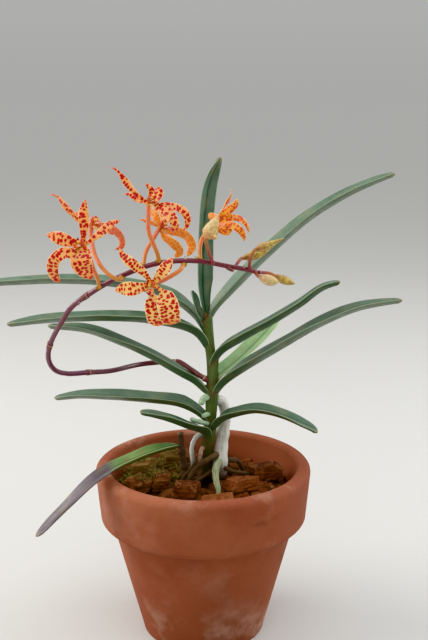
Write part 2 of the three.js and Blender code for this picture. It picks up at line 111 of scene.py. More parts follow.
def smooth(value: Array, low: float, high: float) -> Array:
    """Eases from 0 at low to 1 at high."""
    part = np.clip((value - low) / (high - low), 0.0, 1.0)
    return part * part * (3 - 2 * part)


def unit(vector: Array) -> Array:
    """Scales each vector in the last axis to length 1."""
    return vector / np.maximum(np.linalg.norm(vector, axis=-1, keepdims=True), 1e-9)


def noise(points: Array, size: float, seed: int = 0) -> Array:
    """Smooth repeatable noise.

    Args:
        points: places in millimetres, shape (..., 3).
        size: the distance over which the noise changes.
        seed: picks another pattern.

    Returns:
        One value from -1 to 1 for each place.
    """
    scaled = np.asarray(points) / size + 37.17 * (seed + 1)
    cell = np.floor(scaled).astype(np.int64)
    ease = (scaled - cell) ** 2 * (3 - 2 * (scaled - cell))
    total = np.zeros(scaled.shape[:-1])
    for corner in np.ndindex(2, 2, 2):
        x, y, z = np.moveaxis(cell + np.array(corner), -1, 0)
        mixed = (x * 374761393 + y * 668265263 + z * 1440662683 + seed * 974711) & 0xFFFFFFFF
        mixed = ((mixed ^ (mixed >> 13)) * 1274126177) & 0xFFFFFFFF
        value = ((mixed ^ (mixed >> 16)) & 0xFFFF) / 32767.5 - 1
        total += value * np.prod(np.where(np.array(corner) == 1, ease, 1 - ease), axis=-1)
    return total


def layered_noise(points: Array, size: float, octaves: int = 3, seed: int = 0) -> Array:
    """Sums noise at halving sizes and strengths, about -1 to 1."""
    return sum(noise(points, size / 2**k, seed + k) / 2**k for k in range(octaves)) / 1.6


def grid(*parts: Array | float) -> Array:
    """Stacks values into vectors, after spreading them to one common shape."""
    return np.stack(np.broadcast_arrays(*parts), axis=-1)


def circle(count: int) -> Array:
    """Evenly spaced angles round a full turn."""
    return np.linspace(0, TAU, count, endpoint=False)


def spokes_of(first: Array, second: Array, angles: Array) -> Array:
    """Unit vectors round each place of a path, in the plane of its two directions."""
    return first[:, None] * np.cos(angles)[:, None] + second[:, None] * np.sin(angles)[:, None]


def turned(radii: Array, heights: Array, around: int) -> tuple[Array, Array]:
    """Level rings round the upright axis.

    Args:
        radii: the radius of each ring.
        heights: the height of each ring.
        around: points in each ring.

    Returns:
        The rings, and the unit vectors that point out to their points.
    """
    angles = circle(around)
    spokes = grid(np.cos(angles), np.sin(angles), 0.0)
    return spokes[None] * radii[:, None, None] + np.array(UP) * heights[:, None, None], spokes


class Path:
    """A smooth curve through points, walked at even lengths (a centripetal Catmull-Rom spline)."""

    def __init__(self, points: Sequence[Point]) -> None:
        """Threads the curve through the points, in millimetres."""
        knots = np.array(points, float)
        ends = np.vstack([2 * knots[0] - knots[1], knots, 2 * knots[-1] - knots[-2]])
        self.dense = np.vstack([self._span(*ends[i : i + 4]) for i in range(len(knots) - 1)] + [knots[-1:]])
        steps = np.linalg.norm(np.diff(self.dense, axis=0), axis=1)
        self.walked = np.concatenate([[0], np.cumsum(steps)])
        self.length = float(self.walked[-1])

    @staticmethod
    def _span(before: Array, start: Array, end: Array, after: Array, parts: int = 40) -> Array:
        """Points of the stretch between two knots, without its last one."""
        pairs = ((before, start), (start, end), (end, after))
        first, middle, last = (max(float(np.linalg.norm(b - a)) ** 0.5, 1e-4) for a, b in pairs)
        slope = (end - start) / middle
        leave = ((start - before) / first - (end - before) / (first + middle) + slope) * middle
        arrive = (slope - (after - start) / (middle + last) + (after - end) / last) * middle
        t = np.linspace(0, 1, parts, endpoint=False)[:, None]
        cubic = (2 * start - 2 * end + leave + arrive) * t**3
        return cubic + (-3 * start + 3 * end - 2 * leave - arrive) * t**2 + leave * t + start

    def at(self, shares: Array) -> Array:
        """The places at these shares of the length."""
        wanted = np.asarray(shares) * self.length
        return np.stack([np.interp(wanted, self.walked, self.dense[:, axis]) for axis in range(3)], axis=-1)

    def heading(self, shares: Array) -> Array:
        """Unit vectors along the curve at these shares of the length."""
        shares = np.asarray(shares)
        return unit(self.at(np.minimum(shares + 0.004, 1)) - self.at(np.maximum(shares - 0.004, 0)))

    def frames(self, shares: Array, face: Point | None = None) -> tuple[Array, Array, Array]:
        """Places with two directions square to the curve.

        Args:
            shares: shares of the length.
            face: the side that the first direction turns to; without it, both directions are carried
                along untwisted.

        Returns:
            Places, first directions and second directions.
        """
        places, heading = self.at(shares), self.heading(shares)
        if face is not None:
            aim = np.asarray(face, float)
            first = unit(aim - heading * (heading @ aim)[:, None])
            return places, first, np.cross(first, heading)
        start = (1.0, 0.0, 0.0) if abs(heading[0][0]) < 0.8 else (0.0, 1.0, 0.0)
        carried = [np.cross(heading[0], start)]
        for direction in heading[1:]:
            carried.append(carried[-1] - direction * (carried[-1] @ direction))
            carried[-1] = carried[-1] / np.linalg.norm(carried[-1])
        first = unit(np.array(carried))
        return places, first, np.cross(heading, first)


@dataclass
class Shape:
    """A surface: vertices in millimetres, faces, and two things stored on each vertex.

    place holds (across from -1 to 1, share of the length, face from -1 behind to 1 in front). On a lump
    of bark it holds (a number of its own, 1 at its edges, where the bark's finish paints a highlight, and 0 in
    its splits, where it paints shade).
    run holds (millimetres across, a number of the piece's own, millimetres along).
    """

    points: Array
    faces: list[tuple[int, ...]]
    place: Array
    run: Array

    @classmethod
    def joined(cls, shapes: Iterable["Shape"]) -> "Shape":
        """Puts several shapes into one, side by side."""
        shapes = list(shapes)
        starts = np.cumsum([0] + [len(s.points) for s in shapes])
        faces = [tuple(i + int(start) for i in f) for s, start in zip(shapes, starts) for f in s.faces]
        stored = ("points", "place", "run")
        points, place, run = (np.vstack([getattr(s, key) for s in shapes]) for key in stored)
        return cls(points, faces, place, run)

    @classmethod
    def loft(cls, rings: Array, start: Array, end: Array, place: Array, run: Array) -> "Shape":
        """Skins closed rings and closes both ends on a point.

        Args:
            rings: ring points, shape (count, around, 3).
            start: the point that closes the first ring.
            end: the point that closes the last ring.
            place: stored values, shaped as the rings.
            run: stored values, shaped as the rings.

        Returns:
            The closed shape, with its faces turned out.
        """
        count, around = rings.shape[:2]
        index = np.arange(count * around).reshape(count, around)
        low, high = index[:-1], index[1:]
        quads = np.stack([low, np.roll(low, -1, 1), np.roll(high, -1, 1), high], axis=-1).reshape(-1, 4)
        first, last = count * around, count * around + 1
        caps = [(first, int(b), int(a)) for a, b in zip(index[0], np.roll(index[0], -1))]
        caps += [(last, int(a), int(b)) for a, b in zip(index[-1], np.roll(index[-1], -1))]
        faces = [tuple(map(int, q)) for q in quads] + caps
        points = np.vstack([rings.reshape(-1, 3), start, end])
        stored = [np.vstack([v.reshape(-1, 3), v[0].mean(0), v[-1].mean(0)]) for v in (place, run)]
        return cls(points, faces, *stored).turned_out()

    def turned_out(self) -> "Shape":
        """Flips every face if the shape is inside out."""
        volume = 0.0
        for way in ((0, 1, 2), (0, 2, -1)):
            a, b, c = np.moveaxis(self.points[np.array([[f[i] for i in way] for f in self.faces])], 1, 0)
            volume += np.einsum("ij,ij->i", a, np.cross(b, c)).sum()
        if volume < 0:
            self.faces = [f[::-1] for f in self.faces]
        return self

    def made(self, name: str, material: Material) -> Object:
        """Makes the Blender object, smooth shaded, in metres.

        Args:
            name: the object's name.
            material: its finish.

        Returns:
            The object, linked to the scene.
        """
        mesh = bpy.data.meshes.new(name)
        mesh.from_pydata((self.points * MM).tolist(), [], self.faces)
        for key in ("place", "run"):
            stored = mesh.attributes.new(key, "FLOAT_VECTOR", "POINT")
            stored.data.foreach_set("vector", getattr(self, key).astype(np.float32).ravel())
        mesh.polygons.foreach_set("use_smooth", [True] * len(mesh.polygons))
        mesh.update()
        mesh.materials.append(material)
        made = bpy.data.objects.new(name, mesh)
        bpy.context.scene.collection.objects.link(made)
        return made


def bead(t: Array, least: float = 0.1) -> Array:
    """How wide a drop-like piece is at shares of its length; least keeps its ends open."""
    return np.sqrt(np.clip(np.sin(t * math.pi), least, 1))


def blunt(t: Array, power: float, least: float) -> Array:
    """How wide a piece is that closes only near its tip; least keeps the tip open."""
    return np.sqrt(np.clip(1 - t**power, least, 1))


def tube(
    points: Sequence[Point],
    radius: Callable[[Array], Array],
    steps: int = 60,
    around: int = 20,
    seed: float = 0.0,
    rough: float = 0.0,
    rough_size: float = 4.0,
) -> Shape:
    """A round limb with rounded ends.

    Args:
        points: the curve's knots.
        radius: gives the radius at shares of the length.
        steps: rings along it.
        around: points in each ring.
        seed: the piece's own number, for its noise.
        rough: how far the surface wanders, in millimetres.
        rough_size: the size of that wandering.

    Returns:
        The closed shape.
    """
    path = Path(points)
    shares = np.linspace(0, 1, steps)
    places, first, second = path.frames(shares)
    radii = radius(shares)
    rounding = np.sqrt(np.clip(1 - (1 - np.minimum(shares, 1 - shares) * path.length / radii) ** 2, 0.09, 1))
    rounding = np.where(np.minimum(shares, 1 - shares) * path.length < radii, rounding, 1.0)
    angles = circle(around)
    spokes = spokes_of(first, second, angles)
    rings = places[:, None] + spokes * (radii * rounding)[:, None, None]
    if rough:
        rings = rings + spokes * (rough * layered_noise(rings, rough_size, 3, int(seed)))[..., None]
    place = grid(np.cos(angles), shares[:, None], 1.0)
    girth, along = radii.mean(), shares[:, None] * path.length
    run = grid(girth * np.cos(angles), girth * np.sin(angles) + seed * SEED_STEP, along)
    return Shape.loft(rings, places[0], places[-1], place, run)


@dataclass
class Section:
    """How a blade is shaped across: all of it in millimetres or as a share of the half width."""

    thickness: float
    fold: Callable[[Array], Array]
    hollow: float = 1.3
    groove: float = 0.0
    keel: float = 0.0
    ripple: float = 0.0
    ripples: float = 3.0


def blade(
    path: Path,
    half_width: Callable[[Array], Array],
    section: Section,
    face: Point,
    steps: int = 60,
    around: int = 28,
    seed: float = 0.0,
    skew: float = 0.0,
) -> Shape:
    """A strap with a folded section, thick along its middle and thin at its rounded edges.

    Args:
        path: the curve down its middle.
        half_width: gives half the width at shares of the length.
        section: its shape across.
        face: the side that its upper face turns to.
        steps: rings along it.
        around: points in each ring.
        seed: the piece's own number, for its noise.
        skew: shifts the tip to one side, as a share of the half width.

    Returns:
        The closed shape.
    """
    shares = 1 - (1 - np.linspace(0, 1, steps)) ** 1.25
    places, normal, side = path.frames(shares, face)
    angles = circle(around)
    across, height = np.cos(angles), np.sin(angles)
    half = half_width(shares)[:, None]
    soft = 0.12
    bend = (across**2 + soft**2) ** (section.hollow / 2) - soft**section.hollow
    rise = section.fold(shares)[:, None] * half * bend
    full = np.sign(height) * np.abs(height) ** 0.7 * (1 - 0.35 * across**2)
    body = section.thickness / 2 * np.minimum(1, half / (1.2 * section.thickness)) * full
    top, under = np.clip(height * 3, 0, 1), np.clip(-height * 3, 0, 1)
    middle = np.exp(-((across / 0.10) ** 2)) * np.minimum(1, half / 2)
    body = body - (section.groove * top + section.keel * under) * middle
    swing = np.sin(shares * TAU * section.ripples + seed)[:, None]
    wave = swing * section.ripple * across**2 * np.sign(across) * smooth(half, 0.2, 1.5)
    lift = rise + body + wave
    drift = skew * half * smooth(shares, 0.85, 1.0)[:, None]
    rings = places[:, None] + side[:, None] * (across * half + drift)[..., None]
    rings = rings + normal[:, None] * lift[..., None]
    place = grid(across, shares[:, None], height)
    run = grid(across * half, seed * SEED_STEP, shares[:, None] * path.length)
    return Shape.loft(rings, places[0], places[-1] + side[-1] * drift[-1], place, run)


def chunk(at: Array, size: Array, seed: int, level: int, turn: Matrix, layers: float = 0.35) -> Shape:
    """An angular lump of bark: planes cut round it, with its layers showing as low steps.

    Args:
        at: its middle.
        size: its three widths.
        seed: picks its planes.
        level: how finely it is divided.
        turn: how it lies.
        layers: how far the layers stand out, in millimetres.

    Returns:
        The closed shape.
    """
    random = np.random.default_rng(seed)
    ball = bmesh.new()
    bmesh.ops.create_icosphere(ball, subdivisions=level, radius=1.0)
    ways = unit(np.array([v.co for v in ball.verts]))
    faces = [tuple(v.index for v in f.verts) for f in ball.faces]
    ball.free()
    planes = np.vstack([np.eye(3), -np.eye(3), unit(random.normal(size=(6, 3)))])
    tilt = random.normal(scale=0.13, size=planes.shape)
    planes = unit(planes + tilt)
    reach = np.concatenate([random.uniform(0.80, 0.96, 6), random.uniform(0.94, 1.16, 6)])
    facing = np.maximum(ways @ planes.T, 0) / reach
    second, first = np.sort(facing, axis=1)[:, -2:].T
    # Edge mask, 1 along the lump's edges: the bark's finish paints a highlight there
    wear_and_highlight = smooth(second / first, 0.88, 1.0)
    points = ways / ((facing**34).sum(axis=1) ** (1 / 34))[:, None]
    points = points * np.asarray(size) / 2
    bent = points[:, 2] + 1.3 * layered_noise(points, 8.0, 2, seed)
    ledge = np.abs((bent / 1.9) % 1 - 0.5) * 2
    split = np.clip(1 - 7 * np.abs(noise(points * [0.45, 0.45, 1.5], 4.2, seed + 2)), 0, 1)
    sides = 1 - np.abs(unit(points)[:, 2]) ** 2
    points = points + unit(points * [1, 1, 0.4]) * (layers * (ledge - 0.5) * sides)[:, None]
    flaked = 0.26 * layered_noise(points, 3.6, 3, seed + 5) + 0.16 * noise(points * [1, 3, 3], 2.2, seed + 7)
    points = points + unit(points) * (flaked - 1.2 * layers * split)[:, None]
    # The third value is 0 in the splits, where the bark's finish paints shade
    place = np.column_stack([np.full(len(points), random.random()), wear_and_highlight, 1 - split])
    run = points + [0, 0, seed * 31.0]
    return Shape(points @ np.array(turn).T + at, faces, place, run).turned_out()


# Shading


def tone(code: str) -> tuple[float, float, float, float]:
    """A shader colour from a written one such as "c8703f"."""
    parts = (int(code[i : i + 2], 16) / 255 for i in (0, 2, 4))
    red, green, blue = (c / 12.92 if c <= 0.04045 else ((c + 0.055) / 1.055) ** 2.4 for c in parts)
    return (red, green, blue, 1.0)


class Graph:
    """Adds shader nodes to a tree in few words."""

    def __init__(self, tree: bpy.types.NodeTree) -> None:
        """Works on this tree."""
        self.tree = tree

    def add(self, kind: str, inputs: dict | None = None, **settings: object) -> Node:
        """Adds one node.

        Args:
            kind: the node's type, without its ShaderNode prefix.
            inputs: socket name or number to a value, or to the socket that feeds it.
            settings: the node's own properties.

        Returns:
            The node.
        """
        node = self.tree.nodes.new("ShaderNode" + kind)
        for key, value in settings.items():
            setattr(node, key, value)
        for key, value in (inputs or {}).items():
            if isinstance(value, Socket):
                self.tree.links.new(value, node.inputs[key])
            else:
                node.inputs[key].default_value = value
        return node

    def stored(self, name: str) -> Socket:
        """What the mesh stores under this name, as a vector."""
        return self.add("Attribute", attribute_name=name).outputs["Vector"]

    def part(self, vector: Socket, axis: str) -> Socket:
        """One of X, Y and Z of a vector."""
        return self.add("SeparateXYZ", {"Vector": vector}).outputs[axis]

    def math(self, operation: str, *values: object, clamp: bool = False) -> Socket:
        """A sum or other operation on one to three values."""
        node = self.add("Math", dict(enumerate(values)), operation=operation, use_clamp=clamp)
        return node.outputs[0]

    def spread(self, value: object, low: float, high: float, to_low: float = 0, to_high: float = 1) -> object:
        """Eases a value from one range to another, held at both ends."""
        inputs = {"Value": value, "From Min": low, "From Max": high, "To Min": to_low, "To Max": to_high}
        return self.add("MapRange", inputs, interpolation_type="SMOOTHSTEP").outputs["Result"]

    def mix(self, factor: object, a: object, b: object, how: str = "MIX") -> Socket:
        """Mixes two colours."""
        node = self.add("Mix", {0: factor, 6: a, 7: b}, data_type="RGBA", blend_type=how)
        return node.outputs[2]

    def over(self, colour: object, code: str, mask: object, strength: object = None) -> Socket:
        """Lays a written colour over another as far as a mask says, times a strength."""
        factor = mask if strength is None else self.math("MULTIPLY", mask, strength)
        return self.mix(factor, colour, tone(code))

    def ramp(self, factor: object, *stops: tuple[float, str]) -> Socket:
        """A colour that runs through stops of (place, written colour)."""
        node = self.add("ValToRGB", {"Fac": factor})
        elements = node.color_ramp.elements
        for _ in stops[2:]:
            elements.new(0.5)
        for element, (place, code) in zip(elements, stops):
            element.position = place
            element.color = tone(code)
        return node.outputs["Color"]

    def noise(self, vector: object, scale: object, detail: float, roughness: float = 0.5) -> Node:
        """Blender's own noise, with its Fac and Color outputs."""
        return self.add("TexNoise", {"Vector": vector, "Scale": scale, "Detail": detail, "Roughness": roughness})

    def scaled(self, vector: object, by: Sequence[float]) -> Socket:
        """A vector with each part multiplied."""
        return self.add("VectorMath", {0: vector, 1: tuple(by)}, operation="MULTIPLY").outputs[0]


class Effects:
    """The surface effects that several finishes share, each a node group built once."""

    _made: dict[str, bpy.types.NodeTree] = {}

    @classmethod
    def group(cls, name: str) -> bpy.types.NodeTree:
        """The node group of this name, built on its first use."""
        if name not in cls._made:
            cls._made[name] = getattr(cls, "_" + name)()
        return cls._made[name]

    @classmethod
    def _frame(cls, name: str, inputs: dict[str, object], output: str) -> tuple[Graph, Node, Node]:
        """A new group with named inputs and one output.

        Args:
            name: the group's name.
            inputs: input name to its default value, or None for a vector.
            output: the output's name.

        Returns:
            The graph, its input node and its output node.
        """
        tree = bpy.data.node_groups.new(name, "ShaderNodeTree")
        for key, value in inputs.items():
            kind = "NodeSocketVector" if value is None else "NodeSocketFloat"
            socket = tree.interface.new_socket(key, in_out="INPUT", socket_type=kind)
            if value is not None:
                socket.default_value = value
        tree.interface.new_socket(output, in_out="OUTPUT", socket_type="NodeSocketFloat")
        return Graph(tree), tree.nodes.new("NodeGroupInput"), tree.nodes.new("NodeGroupOutput")

    @classmethod
    def _mottle(cls) -> bpy.types.NodeTree:
        """Soft cloudy patches: Mask is 0 between them and 1 inside."""
        inputs = {"Vector": None, "Scale": 5.0, "Low": 0.4, "High": 0.6}
        g, start, end = cls._frame("mottle", inputs, "Mask")
        o = start.outputs
        cloud = g.noise(o["Vector"], o["Scale"], 5.0, 0.6)
        part = g.add("MapRange", {"Value": cloud.outputs["Fac"], "From Min": o["Low"], "From Max": o["High"]})
        g.tree.links.new(part.outputs["Result"], end.inputs["Mask"])
        return g.tree

    @classmethod
    def _grain(cls) -> bpy.types.NodeTree:
        """Fine grit with small pits, as a height."""
        g, start, end = cls._frame("grain", {"Vector": None, "Scale": 900.0, "Pits": 0.5}, "Height")
        o = start.outputs
        grit = g.noise(o["Vector"], o["Scale"], 4.0, 0.7)
        coarse = g.math("MULTIPLY", o["Scale"], 0.4)
        pit = g.add("TexVoronoi", {"Vector": o["Vector"], "Scale": coarse})
        depth = g.spread(pit.outputs["Distance"], 0.05, 0.35)
        depth = g.math("MULTIPLY", g.math("SUBTRACT", 1.0, depth), o["Pits"])
        g.tree.links.new(g.math("SUBTRACT", grit.outputs["Fac"], depth), end.inputs["Height"])
        return g.tree

    @classmethod
    def _streaks(cls) -> bpy.types.NodeTree:
        """Lines that run the length of a piece: Mask varies from line to line."""
        g, start, end = cls._frame("streaks", {"Vector": None, "Density": 2.0, "Stretch": 0.04}, "Mask")
        o = start.outputs
        long = g.math("MULTIPLY", o["Density"], o["Stretch"])
        by = g.add("CombineXYZ", {"X": o["Density"], "Y": o["Density"], "Z": long})
        vector = g.add("VectorMath", {0: o["Vector"], 1: by.outputs[0]}, operation="MULTIPLY")
        line = g.noise(vector.outputs[0], 1.0, 3.0, 0.55)
        g.tree.links.new(g.spread(line.outputs["Fac"], 0.3, 0.7), end.inputs["Mask"])
        return g.tree

    @classmethod
    def _blotches(cls) -> bpy.types.NodeTree:
        """Sharp irregular spots of many sizes, wider than they are long."""
        inputs = {"Vector": None, "Size": 1.5, "Cover": 0.4, "Softness": 0.06}
        g, start, end = cls._frame("blotches", inputs, "Mask")
        o = start.outputs
        wobble = g.noise(o["Vector"], 1.2, 1.0)
        shift = g.add("VectorMath", {0: wobble.outputs["Color"], 1: (0.5, 0.5, 0.5)}, operation="SUBTRACT")
        moved = g.add("VectorMath", {0: shift.outputs[0], 1: (0.55, 0.55, 0.55), 2: o["Vector"]},
                      operation="MULTIPLY_ADD")
        xyz = g.add("SeparateXYZ", {"Vector": moved.outputs[0]}).outputs
        sideways = g.math("MULTIPLY_ADD", xyz["X"], 0.80, xyz["Y"])
        flat = g.add("CombineXYZ", {"X": sideways, "Y": g.math("MULTIPLY", xyz["Z"], 1.12)}).outputs[0]
        inputs = {"Vector": flat, "Scale": g.math("DIVIDE", 1.0, o["Size"]), "Randomness": 0.72}
        cells = g.add("TexVoronoi", inputs, voronoi_dimensions="2D")
        swell = g.noise(o["Vector"], 0.55, 1.0).outputs["Fac"]
        reach = g.math("MULTIPLY", o["Cover"], g.math("MULTIPLY_ADD", swell, 1.5, 0.25))
        inside = g.math("SUBTRACT", reach, cells.outputs["Distance"])
        inside = g.math("DIVIDE", inside, o["Softness"])
        g.tree.links.new(g.math("ADD", inside, 0.5, clamp=True), end.inputs["Mask"])
        return g.tree


class Finish:
    """What every finish shares: it starts a material and places the shared effects in it."""

    def begin(self, name: str) -> tuple[Graph, Node]:
        """A new material's graph and its shader."""
        material = bpy.data.materials.new(name)
        material.use_nodes = True
        return Graph(material.node_tree), material.node_tree.nodes["Principled BSDF"]

    def effect(self, g: Graph, name: str, **inputs: object) -> Socket:
        """Places a shared effect with this finish's own values."""
        return g.add("Group", inputs, node_tree=Effects.group(name)).outputs[0]

    def bump(self, g: Graph, shader: Node, height: object, strength: float, distance: float) -> None:
        """Feeds a height to the shader's normal; distance is how far it stands out, in millimetres."""
        inputs = {"Height": height, "Strength": strength, "Distance": distance * MM}
        g.tree.links.new(g.add("Bump", inputs).outputs["Normal"], shader.inputs["Normal"])

    def finished(self, g: Graph, shader: Node, **sockets: object) -> Material:
        """Sets or links the shader's sockets, named with _ for a space, and gives the material back."""
        for key, value in sockets.items():
            socket = shader.inputs[key.replace("_", " ")]
            if isinstance(value, Socket):
                g.tree.links.new(value, socket)
            else:
                socket.default_value = value
        return next(m for m in bpy.data.materials if m.node_tree == g.tree)


@dataclass(frozen=True)
class Terracotta(Finish):
    """Fired clay: cloudy orange-brown, pale mineral bloom, turning lines and fine grit."""

    pale: str = "a1664e"
    warm: str = "884a36"
    deep: str = "673527"
    bloom: str = "c6a896"
    smudge: str = "4d2b22"

    def material(self) -> Material:
        """Builds the material."""
        g, shader = self.begin("terracotta")
        where = g.add("TexCoord").outputs["Object"]
        clouds = self.effect(g, "mottle", Vector=where, Scale=22.0, Low=0.34, High=0.68)
        colour = g.mix(clouds, tone(self.warm), tone(self.pale))
        broad = self.effect(g, "mottle", Vector=where, Scale=11.0, Low=0.48, High=0.66)
        colour = g.over(colour, self.deep, broad, 0.75)
        height = g.part(where, "Z")
        crust = self.effect(g, "mottle", Vector=where, Scale=38.0, Low=0.50, High=0.74)
        rim = g.spread(height, 0.078, 0.086)
        foot = g.spread(height, 0.030, 0.002)
        reach = g.math("MULTIPLY_ADD", g.math("MAXIMUM", rim, foot), 0.60, 0.18)
        colour = g.over(colour, self.bloom, crust, reach)
        marks = self.effect(g, "mottle", Vector=g.scaled(where, (1, 1, 2.5)), Scale=30.0, Low=0.62, High=0.76)
        colour = g.over(colour, self.smudge, marks, 0.35)
        specks = self.effect(g, "grain", Vector=where, Scale=1500.0, Pits=0.0)
        colour = g.over(colour, self.smudge, g.spread(specks, 0.60, 0.72, 0.0, 0.35))
        turning = self.effect(g, "streaks", Vector=g.scaled(where, (3, 3, 1600)), Density=1.0, Stretch=1.0)
        grit = self.effect(g, "grain", Vector=where, Scale=1100.0, Pits=0.35)
        relief = g.math("MULTIPLY_ADD", turning, 0.35, grit)
        self.bump(g, shader, relief, 0.35, 0.22)
        rough = g.spread(clouds, 0.0, 1.0, 0.72, 0.92)
        return self.finished(g, shader, Base_Color=colour, Roughness=rough, Specular_IOR_Level=0.3)


@dataclass(frozen=True)
class Bark(Finish):
    """Orchid bark: each lump its own brown, layered and flaking, mossy towards one side of the pot, with a
    painted highlight on each lump's edges, painted shade in its splits and painted shade low down.
    """

    dark: str = "26130b"
    brown: str = "5a2f1c"
    red: str = "7f4027"
    tan: str = "a06c48"
    moss: str = "66633a"
    # Colour of the painted highlight on the lumps' edges
    wear_and_highlight: str = "bb8a62"
    shade: str = "120a06"

    def material(self) -> Material:
        """Builds the material."""
        g, shader = self.begin("orchid_bark")
        place, run = g.stored("place"), g.stored("run")
        own, edge, ledge = (g.part(place, axis) for axis in "XYZ")
        colour = g.ramp(own, (0.0, self.brown), (0.35, self.red), (0.62, self.brown), (0.85, self.tan),
                        (1.0, self.red))
        flakes = self.effect(g, "streaks", Vector=run, Density=0.4, Stretch=2.6)
        colour = g.over(colour, self.dark, flakes, 0.4)
        patches = self.effect(g, "mottle", Vector=run, Scale=0.30, Low=0.46, High=0.60)
        colour = g.over(colour, self.tan, patches, 0.35)
        # Painted highlight along the lumps' edges, in patches
        highlight_patches = self.effect(g, "mottle", Vector=run, Scale=0.55, Low=0.42, High=0.62)
        colour = g.over(colour, self.wear_and_highlight, edge, g.math("MULTIPLY", highlight_patches, 0.6))
        # Painted shade in the splits between the bark's layers
        colour = g.over(colour, self.dark, g.spread(ledge, 0.75, 0.1, 0.0, 0.7))
        where = g.add("TexCoord").outputs["Object"]
        left = g.spread(g.part(where, "X"), 0.000, -0.030)
        back = g.spread(g.part(where, "Y"), -0.022, 0.004)
        damp = self.effect(g, "mottle", Vector=where, Scale=130.0, Low=0.40, High=0.60)
        green = g.math("MULTIPLY", g.math("MULTIPLY", left, back), g.math("MULTIPLY_ADD", damp, 0.6, 0.3))
        colour = g.over(colour, self.moss, green)
        # Painted shade low down between the lumps and on the bed below them
        deep = g.spread(g.part(where, "Z"), 0.0765, 0.0705, 0.0, 0.85)
        colour = g.over(colour, self.shade, deep)
        fibres = self.effect(g, "streaks", Vector=run, Density=3.0, Stretch=0.3)
        grit = self.effect(g, "grain", Vector=where, Scale=1300.0, Pits=0.6)
        self.bump(g, shader, g.math("MULTIPLY_ADD", fibres, 0.8, grit), 0.7, 0.35)
        return self.finished(g, shader, Base_Color=colour, Roughness=0.93, Specular_IOR_Level=0.25)


@dataclass(frozen=True)
class LeafSkin(Finish):
    """Leathery leaf: dusty grey green, painted shade in the crease down the middle, a painted highlight along
    the rim, fine lengthwise veins.
    """

    name: str
    upper: str
    dusty: str
    under: str
    # Colour of the painted shade in the crease down the middle
    crease: str
    # Colour of the painted highlight along the rims, also laid faintly along the keel
    rim: str
    wear_and_highlight: str = "8a7b4e"
    wear: float = 0.25
    fading: str | None = None
    faded_vein: str = "6d6167"
    fade_from: float = 0.35
    fade_to: float = 0.6

    def material(self) -> Material:
        """Builds the material."""
        g, shader = self.begin(self.name)
        place, run = g.stored("place"), g.stored("run")
        across, along, face = (g.part(place, axis) for axis in "XYZ")
        out = g.math("ABSOLUTE", across)
        veins = self.effect(g, "streaks", Vector=run, Density=1.5, Stretch=0.012)
        dust = self.effect(g, "mottle", Vector=run, Scale=0.13, Low=0.38, High=0.66)
        blend = g.math("MULTIPLY_ADD", dust, 0.6, g.math("MULTIPLY", veins, 0.4))
        colour = g.mix(blend, tone(self.upper), tone(self.dusty))
        below = g.spread(face, 0.15, -0.15)
        colour = g.over(colour, self.under, below)
        # Painted shade in the crease down the middle of the upper face
        crease = g.math("MULTIPLY", g.spread(out, 0.22, 0.0), g.spread(face, -0.2, 0.4))
        colour = g.over(colour, self.crease, crease, 0.8)
        keel = g.math("MULTIPLY", g.spread(out, 0.16, 0.0), g.spread(face, 0.2, -0.4))
        colour = g.over(colour, self.rim, keel, 0.4)
        # Painted highlight along the leaf's rims
        edge = g.math("MULTIPLY", g.spread(out, 0.90, 1.0), 0.75)
        colour = g.over(colour, self.rim, edge)
        if self.fading:
            gone = g.spread(g.math("MULTIPLY_ADD", dust, 0.10, along), self.fade_from, self.fade_to)
            colour = g.mix(gone, colour, g.mix(veins, tone(self.fading), tone(self.faded_vein)))
        spots = self.effect(g, "blotches", Vector=g.scaled(run, (0.45, 1.0, 0.18)), Size=2.6, Cover=0.20,
                            Softness=0.2)
        colour = g.over(colour, self.wear_and_highlight, spots, self.wear)
        tip = g.math("MULTIPLY", g.spread(along, 0.965, 1.0), 0.6)
        colour = g.over(colour, self.wear_and_highlight, tip)
        pores = self.effect(g, "grain", Vector=g.add("TexCoord").outputs["Object"], Scale=2200.0, Pits=0.3)
        relief = g.math("MULTIPLY_ADD", veins, 1.2, g.math("MULTIPLY", pores, 0.35))
        self.bump(g, shader, relief, 0.35, 0.12)
        rough = g.math("MULTIPLY_ADD", dust, 0.18, 0.38)
        return self.finished(
            g, shader, Base_Color=colour, Roughness=rough, Coat_Weight=0.18, Coat_Roughness=0.35,
            Subsurface_Weight=0.06, Subsurface_Scale=0.001,
        )


@dataclass(frozen=True)
class Cane(Finish):
    """Stem and the leaf bases that clasp it: ribbed, red brown at dry edges, soiled below foot_top."""

    name: str
    green: str
    light: str
    edge: str
    edge_from: float = 0.86
    roughness: float = 0.5
    foot_top: float = 0.0
    foot_depth: float = 0.020
    soil: str = "45351f"

    def material(self) -> Material:
        """Builds the material."""
        g, shader = self.begin(self.name)
        place, run = g.stored("place"), g.stored("run")
        along = g.part(place, "Y")
        ribs = self.effect(g, "streaks", Vector=run, Density=2.2, Stretch=0.02)
        cloud = self.effect(g, "mottle", Vector=run, Scale=0.2, Low=0.36, High=0.66)
        blend = g.math("MULTIPLY_ADD", ribs, 0.5, g.math("MULTIPLY", cloud, 0.5))
        colour = g.mix(blend, tone(self.green), tone(self.light))
        dry = g.spread(g.math("MULTIPLY_ADD", cloud, 0.06, along), self.edge_from, 1.0, 0.0, 0.85)
        colour = g.over(colour, self.edge, dry)
        stain = self.effect(g, "mottle", Vector=run, Scale=0.45, Low=0.60, High=0.70)
        colour = g.over(colour, self.edge, stain, 0.4)
        height = g.part(g.add("TexCoord").outputs["Object"], "Z")
        foot = g.spread(g.math("MULTIPLY_ADD", stain, -0.003, height), self.foot_top,
                        self.foot_top - self.foot_depth, 0.0, 0.8)
        colour = g.over(colour, self.soil, foot)
        self.bump(g, shader, ribs, 0.5, 0.25)
        return self.finished(g, shader, Base_Color=colour, Roughness=self.roughness, Coat_Weight=0.1)


